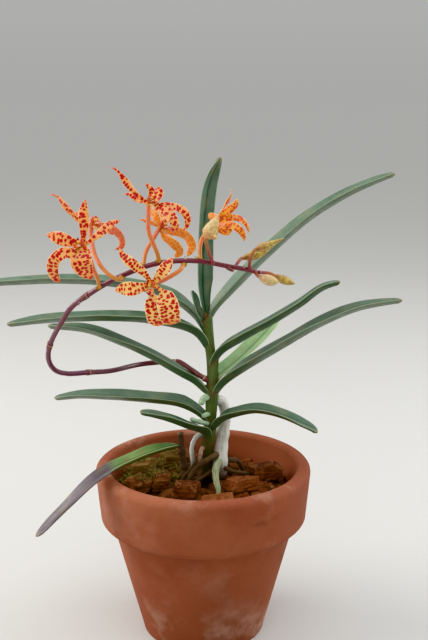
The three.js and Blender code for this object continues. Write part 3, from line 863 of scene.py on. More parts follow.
@dataclass(frozen=True)
class Velamen(Finish):
    """Orchid root: chalky white skin, grey green where it is thin, stained brown near the bark."""

    name: str = "velamen"
    chalk: str = "e6e4dc"
    grey: str = "bfc0b4"
    green: str = "7f9166"
    stain: str = "6a5742"
    stain_top: float = 0.090
    stain_depth: float = 0.011
    ringed: float = 0.35

    def material(self) -> Material:
        """Builds the material."""
        g, shader = self.begin(self.name)
        place, run = g.stored("place"), g.stored("run")
        where = g.add("TexCoord").outputs["Object"]
        lines = self.effect(g, "streaks", Vector=run, Density=1.4, Stretch=0.08)
        colour = g.mix(lines, tone(self.chalk), tone(self.grey))
        tint = self.effect(g, "mottle", Vector=where, Scale=170.0, Low=0.50, High=0.70)
        colour = g.over(colour, self.green, tint, 0.45)
        rings = self.effect(g, "mottle", Vector=g.scaled(where, (1, 1, 5)), Scale=150.0, Low=0.55, High=0.68)
        colour = g.over(colour, self.stain, rings, self.ringed)
        rise = g.math("MULTIPLY_ADD", tint, 0.004, g.part(where, "Z"))
        soiled = g.spread(rise, self.stain_top, self.stain_top - self.stain_depth, 0.0, 0.85)
        colour = g.over(colour, self.stain, soiled)
        grit = self.effect(g, "grain", Vector=where, Scale=1500.0, Pits=0.4)
        self.bump(g, shader, g.math("MULTIPLY_ADD", lines, 0.9, grit), 0.6, 0.25)
        return self.finished(g, shader, Base_Color=colour, Roughness=0.85, Subsurface_Weight=0.05,
                             Subsurface_Scale=0.001)


@dataclass(frozen=True)
class Flush(Finish):
    """Smooth living stalk: colour runs from its foot to its head, with faint lengthwise lines."""

    name: str
    foot: str
    middle: str
    head: str
    line: str
    roughness: float = 0.38
    coat: float = 0.35

    def material(self) -> Material:
        """Builds the material."""
        g, shader = self.begin(self.name)
        place, run = g.stored("place"), g.stored("run")
        along = g.part(place, "Y")
        lines = self.effect(g, "streaks", Vector=run, Density=2.6, Stretch=0.05)
        cloud = self.effect(g, "mottle", Vector=run, Scale=0.22, Low=0.36, High=0.68)
        colour = g.ramp(along, (0.0, self.foot), (0.38, self.middle), (1.0, self.head))
        colour = g.over(colour, self.line, lines, 0.45)
        colour = g.over(colour, self.foot, cloud, 0.25)
        self.bump(g, shader, lines, 0.4, 0.15)
        return self.finished(
            g, shader, Base_Color=colour, Roughness=self.roughness, Coat_Weight=self.coat, Coat_Roughness=0.25,
            Subsurface_Weight=0.08, Subsurface_Scale=0.001,
        )


@dataclass(frozen=True)
class Spotted(Finish):
    """Flower tissue: cream to orange with sharp crimson blotches in front, plain orange behind."""

    name: str
    heart: str = "efb44a"
    field: str = "f3c37c"
    tip: str = "e8925a"
    margin: str = "f7dfae"
    blotch: str = "b81118"
    back: str = "e8924a"
    back_blotch: str = "cc5a30"
    size: float = 1.40
    cover: float = 0.395
    softness: float = 0.13
    strength: float = 1.0

    def material(self) -> Material:
        """Builds the material."""
        g, shader = self.begin(self.name)
        place, run = g.stored("place"), g.stored("run")
        across, along, face = (g.part(place, axis) for axis in "XYZ")
        out = g.math("ABSOLUTE", across)
        cloud = self.effect(g, "mottle", Vector=run, Scale=0.3, Low=0.35, High=0.68)
        field = g.ramp(along, (0.0, self.heart), (0.30, self.field), (0.78, self.field), (1.0, self.tip))
        field = g.over(field, self.heart, cloud, 0.5)
        hem = g.spread(out, 0.80, 0.97)
        field = g.over(field, self.margin, hem, 0.65)
        spots = self.effect(g, "blotches", Vector=run, Size=self.size, Cover=self.cover, Softness=self.softness)
        ends = g.math("MULTIPLY", g.spread(along, 1.0, 0.90, 0.35, 1.0), self.strength)
        keep = g.math("MULTIPLY", g.spread(out, 0.99, 0.88), ends)
        front = g.over(field, self.blotch, spots, keep)
        veins = self.effect(g, "streaks", Vector=run, Density=1.8, Stretch=0.05)
        blend = g.math("MULTIPLY_ADD", hem, 0.35, g.math("MULTIPLY", veins, 0.55))
        behind = g.mix(blend, tone(self.back), field)
        faint = self.effect(g, "blotches", Vector=run, Size=self.size, Cover=self.cover - 0.08, Softness=0.35)
        behind = g.over(behind, self.back_blotch, faint, 0.55)
        colour = g.mix(g.spread(face, 0.10, -0.25), front, behind)
        relief = g.math("MULTIPLY_ADD", veins, 0.5, g.math("MULTIPLY", spots, 0.35))
        self.bump(g, shader, relief, 0.35, 0.18)
        return self.finished(
            g, shader, Base_Color=colour, Roughness=0.42, Coat_Weight=0.12, Coat_Roughness=0.3,
            Subsurface_Weight=0.14, Subsurface_Scale=0.0012,
        )


@dataclass(frozen=True)
class Dew(Finish):
    """A clear drop of nectar."""

    def material(self) -> Material:
        """Builds the material."""
        g, shader = self.begin("nectar")
        return self.finished(g, shader, Base_Color=(1, 1, 1, 1), Roughness=0.02, Transmission_Weight=1.0,
                             IOR=1.34)


@dataclass(frozen=True)
class PaleGround(Finish):
    """The plain pale floor."""

    colour: str = "c9c8c4"

    def material(self) -> Material:
        """Builds the material."""
        g, shader = self.begin("pale_floor")
        return self.finished(g, shader, Base_Color=tone(self.colour), Roughness=0.9, Specular_IOR_Level=0.1)


def place_piece(piece: Object, slot: Slot, *nodes: str) -> Object:
    """Lets a piece ride with the plant, in place of its nodes.

    Args:
        piece: the finished object.
        slot: the record's slot for the piece; not used.
        nodes: the CAD nodes that it stands for.

    Returns:
        The same object.
    """
    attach(piece, BODY)
    if nodes:
        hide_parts(*nodes)
    log.info("%s: %d faces%s", piece.name, len(piece.data.polygons), f", for {', '.join(nodes)}" if nodes else "")
    return piece


# The pot


@dataclass
class ClayPot:
    """A turned flowerpot with a thick collar."""

    height: float = 85.0
    rim_radius: float = 52.0
    wall: float = 7.0
    rim_rounding: float = 3.1
    inner_rounding: float = 2.6
    collar_height: float = 28.0
    collar_low_radius: float = 50.0
    collar_rounding: float = 3.4
    body_top_radius: float = 44.5
    foot_radius: float = 30.0
    foot_rounding: float = 1.2
    floor: float = 7.0
    floor_radius: float = 25.0
    drain_radius: float = 3.5
    drain_ring: float = 14.0
    drains: int = 3
    around: int = 192

    def profile(self) -> Array:
        """The outline in (radius, height): the underside, up the outside, then down the inside."""

        def corner(x: float, z: float, size: float, start: float, stop: float) -> list[tuple[float, float]]:
            angles = np.radians(np.linspace(start, stop, 9))
            return [(x + size * math.cos(a), z + size * math.sin(a)) for a in angles]

        collar = self.height - self.collar_height
        inner_low = self.floor + 3
        inner_top = self.rim_radius - self.wall
        foot, low = self.foot_rounding, self.collar_rounding
        rim, inner = self.rim_rounding, self.inner_rounding
        knots: list[tuple[float, float]] = [(0.0, 0.0)]
        knots += corner(self.foot_radius - foot, foot, foot, -90, -15)
        # The small hollow where the body meets the collar
        knots += [(self.body_top_radius - 0.35, collar - 1.6), (self.body_top_radius + 0.5, collar - 0.4)]
        knots += corner(self.collar_low_radius - low, collar + low, low, -88, 0)
        knots += corner(self.rim_radius - rim, self.height - rim, rim, 0, 90)
        knots += corner(inner_top + inner, self.height - inner, inner, 90, 176)
        knots += [(self.floor_radius + 0.8, inner_low), (self.floor_radius - 1.5, self.floor)]
        knots.append((0.0, self.floor))
        fine = [np.array(knots[0])]
        for start, stop in zip(knots, knots[1:]):
            parts = max(1, int(math.dist(start, stop) / 1.6))
            fine += [np.array(start) + (np.array(stop) - start) * k / parts for k in range(1, parts + 1)]
        return np.array(fine)

    def build(self) -> Object:
        """Turns the pot, lets its wall wander a little as a hand-finished one does, and drills its drains."""
        outline = self.profile()
        middle = outline[1:-1]
        rings, spokes = turned(middle[:, 0], middle[:, 1], self.around)
        swell = 0.16 * layered_noise(rings, 26.0, 3, 4) + 0.05 * layered_noise(rings * [1, 1, 6], 9.0, 2, 8)
        resting = smooth(middle[:, 1], 0.2, 4.0)[:, None]
        rings = rings + spokes[None] * (swell * resting)[..., None]
        stored = np.zeros(rings.shape)
        shape = Shape.loft(rings, np.array([0.0, 0.0, 0.0]), np.array([0.0, 0.0, self.floor]), stored, stored)
        shell = shape.made("turned_pot", Terracotta().material())
        for i in range(self.drains):
            self._drill(shell, (i + 0.25) / self.drains * TAU)
        return place_piece(shell, Slot.CLAY, "pot")

    def _drill(self, shell: Object, angle: float) -> None:
        """Cuts one drain hole through the floor."""
        bit = bmesh.new()
        spot = (self.drain_ring * math.cos(angle), self.drain_ring * math.sin(angle), self.floor / 2)
        bmesh.ops.create_cone(
            bit, cap_ends=True, segments=36, radius1=self.drain_radius * MM, radius2=self.drain_radius * MM,
            depth=self.floor * 3 * MM, matrix=Matrix.Translation(Vector(spot) * MM),
        )
        mesh = bpy.data.meshes.new("bit")
        bit.to_mesh(mesh)
        bit.free()
        tool = bpy.data.objects.new("bit", mesh)
        bpy.context.scene.collection.objects.link(tool)
        cut = shell.modifiers.new("drain", "BOOLEAN")
        cut.operation, cut.object, cut.solver = "DIFFERENCE", tool, "EXACT"
        bpy.context.view_layer.update()
        cut_mesh = bpy.data.meshes.new_from_object(shell.evaluated_get(bpy.context.evaluated_depsgraph_get()))
        shell.modifiers.clear()
        shell.data = cut_mesh
        bpy.data.objects.remove(tool)


# The bark


@dataclass
class BarkBed:
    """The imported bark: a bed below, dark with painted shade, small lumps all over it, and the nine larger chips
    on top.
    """

    bed_radius: float = 41.4
    low_radius: float = 25.0
    floor: float = 7.3
    # How many small lumps there are, the share of them that lies lower, and the bare ring round the stem
    small: int = 300
    lower_share: float = 0.45
    stem_at: tuple[float, float] = (3.0, 2.0)
    stem_clear: float = 8.0
    # Each larger chip: where it lies, its three widths, its turn in radians, and the number of its shape
    chips: tuple = (
        ((30, 3), (17, 14, 9), 0.2, 11),
        ((18, -14), (15, 13, 8), 0.5, 23),
        ((-8, -20), (14, 12, 8), -0.2, 37),
        ((-20, -9), (9, 12, 8.5), 0.1, 41),
        ((-31, -14), (11, 12, 7.5), 0.9, 59),
        ((-30, 9), (15, 13, 8), 1.3, 67),
        ((-15, 23), (15, 13, 8), 0.3, 71),
        ((5, 27), (14, 12, 7), 2.1, 83),
        ((7, -33), (14, 10, 6), 0.1, 97),
    )
    # The middle of each tuft of moss, and how far it spreads
    tufts: tuple[tuple[float, float, float, float], ...] = (
        (-24, 1, 78.0, 4.5), (-37, -2, 77.0, 3.5), (-13, 9, 78.0, 4.0), (-23, 15, 78.5, 4.0), (-37, 8, 77.5, 3.5),
        (-26, -9, 78.5, 3.5), (-15, -1, 77.5, 3.5), (-30, 9, 82.4, 4.5), (-14, 22, 82.2, 4.0),
        (-21, -8, 82.4, 2.5), (-31, -13, 81.6, 2.5), (-37, -12, 77.5, 2.5),
    )
    strands: int = 34
    # How far the bed lies below the bark's level, its rings up the side and its rings across the top
    bed_depth: float = 4.5
    side_rings: int = 10
    top_rings: int = 26
    # The hollow at the back right: its middle, its widths and its depth
    hollow_at: tuple[float, float] = (16.0, 16.0)
    hollow_size: tuple[float, float] = (9.0, 8.0)
    hollow_depth: float = 3.0

    def build(self) -> None:
        """Makes the bed with its small lumps, each larger chip, and the moss."""
        bark = Bark().material()
        packed = Shape.joined([self._bed(), *self._small_lumps()]).made("packed_bark", bark)
        place_piece(packed, Slot.BARK, "bark_bed")
        for number, (at, size, turn, seed) in enumerate(self.chips, 1):
            tilt = Matrix.Rotation(turn, 3, "Z") @ Matrix.Rotation(0.22 * math.sin(seed), 3, "X")
            middle = np.array([*at, BARK_LEVEL + size[2] / 2 - 0.4])
            lump = chunk(middle, np.array(size, float), seed, 5, tilt, 0.26)
            place_piece(lump.made(f"bark_lump_{number}", bark), Slot.BARK, f"bark_chip_{number}")
        moss = Flush("moss_strand", "54452a", "7a7140", "a39c62", "4b4527", 0.9, 0.0).material()
        place_piece(self._moss().made("moss_and_fibres", moss), Slot.BARK)

    def _moss(self) -> Shape:
        """Short upright strands in tufts, with longer loose fibres of husk lying among them."""
        random = np.random.default_rng(5)
        strands = []
        for *middle, reach in self.tufts:
            for number in range(self.strands):
                loose = number % 6 == 0
                start = np.array(middle) + random.normal(scale=reach / 2, size=3) * [1, 1, 0.12] - [0, 0, 0.4]
                spread, climb, shortest, longest = (0.1, 0.1, 4.0, 8.0) if loose else (0.6, 0.9, 1.4, 3.0)
                way = unit(random.normal(size=3) * [1, 1, spread] + [0, 0, climb])
                length = random.uniform(shortest, longest)
                bend = random.normal(scale=0.16 * length, size=3) * [1, 1, 0.3]
                knots = [tuple(start + way * length * t + bend * t * t) for t in (0.0, 0.5, 1.0)]
                strands.append(tube(knots, lambda t: 0.24 - 0.12 * t, 9, 6, number % 7))
        return Shape.joined(strands)

    def _bed(self) -> Shape:
        """The mass below: a plug that fills the pot, rough on top."""
        top = BARK_LEVEL - self.bed_depth
        radii = np.concatenate([np.ones(self.side_rings), np.linspace(0.97, 0.04, self.top_rings)])
        side = np.linspace(self.floor, top - 0.5, self.side_rings)
        heights = np.concatenate([side, np.full(self.top_rings, top)])
        climb = np.clip((heights - self.floor) / (BARK_LEVEL - 4 - self.floor), 0, 1)
        reach = (self.low_radius + (self.bed_radius - self.low_radius) * climb - 0.8) * radii
        rings, _ = turned(reach, heights, 96)
        rough = layered_noise(rings, 7.0, 3, 2) * 2.0 * smooth(heights, top - 3.5, top - 0.1)[:, None]
        rings = rings + np.array(UP) * rough[..., None]
        stored = np.broadcast_to(np.array([0.1, 0.5, 0.3]), rings.shape)
        return Shape.loft(rings, np.array([0.0, 0.0, self.floor]), np.array([0.0, 0.0, top]), stored, rings)

    def _small_lumps(self) -> list[Shape]:
        """Lumps scattered in two layers."""
        random = np.random.default_rng(29)
        lumps = []
        for number in range(self.small):
            lower = number < self.small * self.lower_share
            radius = math.sqrt(random.uniform(0.0, 1.0)) * (self.bed_radius - 3.0)
            angle = random.uniform(0, TAU)
            x, y = radius * math.cos(angle), radius * math.sin(angle)
            length = random.uniform(5.0, 9.5)
            size = np.array([length, length * random.uniform(0.6, 0.95), length * random.uniform(0.35, 0.6)])
            level = BARK_LEVEL - (3.4 if lower else 1.2) + random.uniform(-0.8, 1.0)
            away = (np.array([x, y]) - self.hollow_at) / self.hollow_size
            level -= self.hollow_depth * math.exp(-(away[0] ** 2 + away[1] ** 2))
            if not lower and math.dist((x, y), self.stem_at) < self.stem_clear:
                continue
            spin = Matrix.Rotation(random.uniform(0, TAU), 3, "Z")
            lean = Matrix.Rotation(random.normal(scale=0.35), 3, "X")
            lean = lean @ Matrix.Rotation(random.normal(scale=0.3), 3, "Y")
            lumps.append(chunk(np.array([x, y, level]), size, 200 + number, 3, spin @ lean, 0.2))
        return lumps


# The plant's stem and leaves


@dataclass
class Stem:
    """The upright cane with the clasping bases of its leaves, and the short dried cane beside it."""

    radius: float = 2.3
    path: tuple[Point, ...] = (
        (1.5, 5, 75.3), (2, 4.5, 84), (2.8, 3, 96), (3.8, 1, 110), (4.2, 0, 124), (4.2, 0, 136), (2.6, 0, 148),
        (1, 0, 160),
    )
    dried_path: tuple[Point, ...] = ((-9, 0, 75.3), (-9.5, -1, 84), (-10.5, -3, 93), (-11, -4, 102))
    # Each clasping base: the share of the stem where it starts and ends, and the side that its leaf leaves on
    clasps: tuple[tuple[float, float, float], ...] = (
        (0.02, 0.23, 180), (0.10, 0.33, 0), (0.22, 0.37, 180), (0.30, 0.52, 0), (0.36, 0.54, 180),
        (0.44, 0.62, 60), (0.50, 0.71, 0), (0.58, 0.83, 180), (0.68, 0.93, 180), (0.78, 0.97, 0),
    )
    sheath_gap: float = 0.30
    sheath_flare: float = 0.62
    sheath_wall: float = 0.45
    mouth_slant: float = 3.0
    flatness: float = 0.86
    # Rings along a clasping base, points round it, and rings of its inside that show in its mouth
    folds: int = 22
    around: int = 36
    tucked: int = 7

    def build(self) -> None:
        """Makes the core, its clasping leaf bases, and the dried cane."""
        core = tube(self.path, lambda t: self.radius * (1 - 0.3 * t * t), 60, 20, 3, 0.12, 3.0)
        green = Cane("green_cane", "45552f", "6c7e4b", "6e4a33", 0.93, 0.5, 0.104)
        place_piece(core.made("cane", green.material()), Slot.STEM, "stem")
        sheaths = Shape.joined(self._clasp(i, *clasp) for i, clasp in enumerate(self.clasps))
        place_piece(sheaths.made("clasping_leaf_bases", green.material()), Slot.STEM)
        self._dried()

    def _clasp(self, number: int, start: float, end: float, side: float) -> Shape:
        """One leaf base wrapped round the cane, its mouth slanting up to the leaf's side."""
        path = Path(self.path)
        shares = np.linspace(start, end, self.folds)
        places = path.at(shares)
        rise = np.linspace(0, 1, self.folds)
        angles = circle(self.around)
        towards = np.cos(angles - math.radians(side))
        radius = self.radius * (1 - 0.3 * shares**2) + self.sheath_gap + self.sheath_flare * rise**1.4
        reach = radius[:, None] * (1 + 0.16 * rise[:, None] * towards[None])
        lift = rise[:, None] * towards[None] * self.mouth_slant
        middles = places[:, None] + np.array(UP) * lift[..., None]
        spokes = grid(np.cos(angles), self.flatness * np.sin(angles), 0.0)[None]
        outer = middles + spokes * reach[..., None]
        inner = middles + spokes * np.maximum(reach - self.sheath_wall, 0.4)[..., None]
        rings = np.concatenate([outer, inner[: -self.tucked - 1 : -1]])
        along = np.concatenate([rise, np.ones(self.tucked)])
        place = grid(np.cos(angles), along[:, None], 1.0)
        run = grid(3 * np.cos(angles) + number * 13.0, 3 * np.sin(angles), rings[..., 2])
        return Shape.loft(rings, places[0], places[-self.tucked], place, run)

    def _dried(self) -> None:
        """The dried cane, with two shrunken sheath rings."""
        dried = Cane("dried_cane", "3d2b22", "75604f", "94816b", 0.94, 0.85)
        parts = [
            tube(self.dried_path, lambda t: 1.8 - 0.36 * t + 0.12 * np.sin(t * 40), 60, 18, 5, 0.25, 2.0)
        ]
        path = Path(self.dried_path)
        for number, share in enumerate((0.30, 0.62)):
            knots = [tuple(p) for p in path.at(np.array([share - 0.10, share, share + 0.08]))]
            parts.append(tube(knots, lambda t: 1.75 + 0.5 * t, 14, 18, 11 + number, 0.2, 1.5))
        place_piece(Shape.joined(parts).made("dried_cane", dried.material()), Slot.DRIED_STEM, "old_stem")


@dataclass
class Leaf:
    """One folded strap leaf."""

    name: str
    width: float
    path: tuple[Point, ...]
    face: Point = UP
    base: float = 0.36
    fold: float = 0.62
    thickness: float = 1.7
    skew: float = 0.25

    def shape(self, seed: float) -> Shape:
        """Lofts the strap: narrow and clasping at its base, blunt and a little lopsided at its tip."""
        path = Path(self.path)

        def half(t: Array) -> Array:
            opening = np.minimum(1, self.base + 3 * t) * np.sqrt(np.clip(t / 0.06 + 0.03, 0, 1))
            return self.width / 2 * opening * blunt(t, 7, 0.002)

        section = Section(self.thickness, lambda t: self.fold * (1 - 0.45 * t), 1.3, 0.28, 0.45, 0.12, 2.3)
        strap = blade(path, half, section, self.face, 90, 36, seed, self.skew)
        strap.points = strap.points + np.array(UP) * (0.18 * noise(strap.points, 11.0, int(seed)))[:, None]
        return strap


@dataclass
class Foliage:
    """All the leaves: two ranks on the stem, the top leaf, the spear beside it and the old hanging leaf."""

    leaves: tuple[Leaf, ...] = (
        Leaf("leaf_right_1", 13, ((2, 0, 155), (6, 0.5, 161.5), (14, 2, 170), (31.5, 5, 187), (50, 8, 203),
             (69, 10, 214.5), (90, 12, 223.5))),
        Leaf("leaf_right_2", 11, ((3.4, 0, 131.5), (8, -1, 140), (17.5, -3, 147), (31, -6, 155.5), (45, -8, 165),
             (54.5, -10, 173), (62.5, -12, 176.5))),
        Leaf("leaf_right_3", 12, ((4.2, 0, 117), (9, -1, 124.5), (20, -4, 133.5), (36, -6, 144), (54, -8, 155.5),
             (72.5, -8, 163.5), (92, -8, 167))),
        Leaf("leaf_right_4", 10, ((4.2, 1, 123), (7.5, 5.5, 126.5), (15, 15, 130), (23, 26, 134.5),
             (31, 38, 139.5), (39.5, 50, 145.5))),
        Leaf("leaf_right_5", 10, ((3.8, 0, 101), (9, -2.5, 107.5), (15.5, -4, 110.5), (25, -6, 113),
             (36.5, -10, 112), (48, -14, 108), (53.5, -16, 105.5))),
        Leaf("leaf_left_1", 12, ((2.2, 0.2, 148.5), (-3.2, 1.4, 156.8), (-11, 2, 163.5), (-22.5, 4, 168.5),
             (-44, 6, 172), (-68, 8, 173), (-97, 10, 171.5), (-112, 11, 170))),
        Leaf("leaf_left_2", 12, ((3.2, 0, 140.5), (-2.6, -2, 149.2), (-8.5, -4, 153), (-24.5, -9, 157.5),
             (-42, -15, 160), (-64, -21, 161), (-87, -26, 160))),
        Leaf("leaf_left_3", 11, ((3, 0, 119), (-4, -1, 126), (-11, -3, 130.5), (-25, -6, 140), (-38.5, -8, 147),
             (-52.5, -8, 152.5), (-72, -7, 155))),
        Leaf("leaf_left_4", 12, ((3.5, 0, 104.5), (-3, 1, 110), (-11, 2, 113.5), (-26, 4, 115), (-45, 6, 116),
             (-60, 8, 116), (-73, 10, 114.5))),
        Leaf("leaf_left_5", 9, ((2.8, 1, 96.5), (-0.6, -3.4, 102), (-6, -8, 105.5), (-17.5, -14, 112),
             (-29, -18, 116.5))),
        Leaf("leaf_top", 10, ((1.0, 0, 156.5), (0.7, 0, 161), (-0.4, -0.5, 170), (-0.3, -4, 190), (0.7, -10, 209),
             (3, -14, 222.5), (8, -19, 233)), (0.7, -0.7, 0.1), 0.3),
        Leaf("leaf_spear", 4.5, ((0.2, -0.8, 155.5), (-2.6, -3.2, 161), (-3.8, -4, 166), (-5, -4.5, 171)),
             (0.8, -0.6, 0.3), 0.36, 0.7, 1.2),
        Leaf("leaf_left_6", 9, ((-10.8, -3.5, 95), (-20.5, -12, 95.5), (-32, -17, 92.5), (-42, -22, 89.5),
             (-49, -27.5, 86.5), (-58, -33, 79.5), (-69, -38, 70), (-75, -42, 65.5))),
    )

    def build(self) -> None:
        """Makes each leaf in its own finish."""
        skin = LeafSkin("leaf_skin", "46604a", "677d66", "52684f", "26382a", "9aab8c").material()
        pale = LeafSkin("pale_leaf_skin", "6f8f5f", "8fae7c", "86a274", "4d6a40", "b4c89a").material()
        old = LeafSkin("old_leaf_skin", "5c7a45", "7c9a5c", "64804a", "3a5230", "a9b584",
                       "7a6a4c", 0.5, "4b4148", fade_from=0.42, fade_to=0.56).material()
        finishes = {"leaf_right_4": (pale, Slot.PALE_LEAF), "leaf_left_6": (old, Slot.OLD_LEAF)}
        for number, leaf in enumerate(self.leaves):
            finish, slot = finishes.get(leaf.name, (skin, Slot.LEAF))
            place_piece(leaf.shape(number * 1.7 + 1).made(leaf.name + "_blade", finish), slot, leaf.name)


# Roots


@dataclass
class Root:
    """One root with its thickness at both ends."""

    name: str
    node: str | None
    start: float
    end: float
    path: tuple[Point, ...]
    finish: str = "soiled"


@dataclass
class Roots:
    """The thick white root, the lesser ones that spread from it, and the small new tips on the stem."""

    # Each root's name, its CAD node if it has one, its radius at both ends, its path and its finish
    roots: tuple[Root, ...] = (
        Root("thick_root", "root_thick", 2.4, 3.7, ((5, 2, 116), (9, 4, 114.5), (10.5, 5.8, 108), (9.8, 5.8, 100),
             (9, 4, 92), (8.4, 2, 85), (8, 1, 76.0)), "chalky"),
        Root("left_root", "root_left", 1.6, 1.0, ((7.5, 1, 89), (3, -2, 87.5), (-3, -4.5, 84), (-9, -8, 76))),
        Root("right_root", "root_right", 1.5, 1.0, ((8.4, 2, 86), (13, 4, 84.5), (17, 9, 82), (20, 13.5, 75))),
        Root("front_root", "root_front", 1.9, 1.2, ((8.0, 0, 86), (6.2, -6, 84.5), (6.1, -14, 81.5),
             (7.2, -21, 79.5), (7.4, -24, 76)), "greenish"),
        Root("cream_root", "root_cream", 1.3, 1.1, ((2.6, 4, 98), (-3, 4.5, 96.5), (-5.5, 3, 92), (-5.2, 2.5, 85),
             (-5, 2.5, 76.0)), "chalky"),
        Root("new_root_tip", "root_tip", 1.9, 1.5, ((3.9, 0.5, 118), (1.2, -1.5, 118.2), (-0.5, -2.8, 117.0),
             (-0.6, -3.2, 114.9)), "tip"),
        Root("low_root_tip_1", None, 1.2, 1.1, ((2.8, 0, 104.5), (-2.5, -4.4, 107.2), (-6.0, -7.2, 109.4)),
             "tip"),
        Root("low_root_tip_2", None, 1.3, 1.1, ((3.0, 0.2, 109.5), (0.9, -2.9, 109.8), (-0.5, -4.0, 109.2)),
             "tip"),
        Root("pink_root", None, 1.1, 0.9, ((2.0, 4.2, 90), (-0.5, 1.5, 91.5), (-1.5, 0.0, 88), (-2.0, -1.0, 76)),
             "pink"),
        Root("thin_root", None, 0.7, 0.55, ((1.5, 3, 90), (-2.5, 0, 86.5), (-7, -4, 82), (-10.5, -7.5, 79),
             (-12, -9, 75))),
        Root("spreading_root_1", None, 1.1, 0.7, ((8, 1, 83), (14, -3, 81.5), (20, -3, 80.5), (24, 2, 78))),
        Root("spreading_root_2", None, 1.1, 0.7, ((7, 2, 83), (2, 7, 81), (-3, 13, 79.5), (-8, 17, 77))),
        Root("spreading_root_3", None, 1.0, 0.7, ((8, 3, 84), (12, 10, 80), (11, 18, 77.5), (8, 24, 77))),
        Root("spreading_root_4", None, 0.9, 0.6, ((6, 0, 82), (0, -8, 80.5), (-3, -12, 80), (-9, -13, 77))),
    )

    def build(self) -> None:
        """Makes each root with its own finish."""
        finishes = {
            "chalky": Velamen(ringed=0.12).material(),
            "soiled": Velamen("soiled_velamen", "8a7658", "6b5640", "66663f", "4b3826", 0.096).material(),
            "greenish": Velamen("green_velamen", "a2a587", "7f8663", "66754a", "5f4d38", 0.084).material(),
            "pink": Velamen("pink_velamen", "c9a492", "a78476", "8a7e60", "6a5040", 0.086).material(),
            "tip": Velamen("root_tip_skin", "bfd0b4", "8fae8a", "7fa070", "8fa284", 0.02).material(),
        }
        for number, root in enumerate(self.roots):
            def radius(t: Array, root: Root = root) -> Array:
                swell = 1 + 0.05 * np.sin(t * 17 + number) + 0.04 * np.sin(t * 41)
                return (root.start + (root.end - root.start) * t) * swell

            shape = tube(root.path, radius, 80, 26, 20 + number, 0.16, 2.4)
            made = shape.made(root.name, finishes[root.finish])
            place_piece(made, Slot.ROOT, *([root.node] if root.node else []))


# The spray


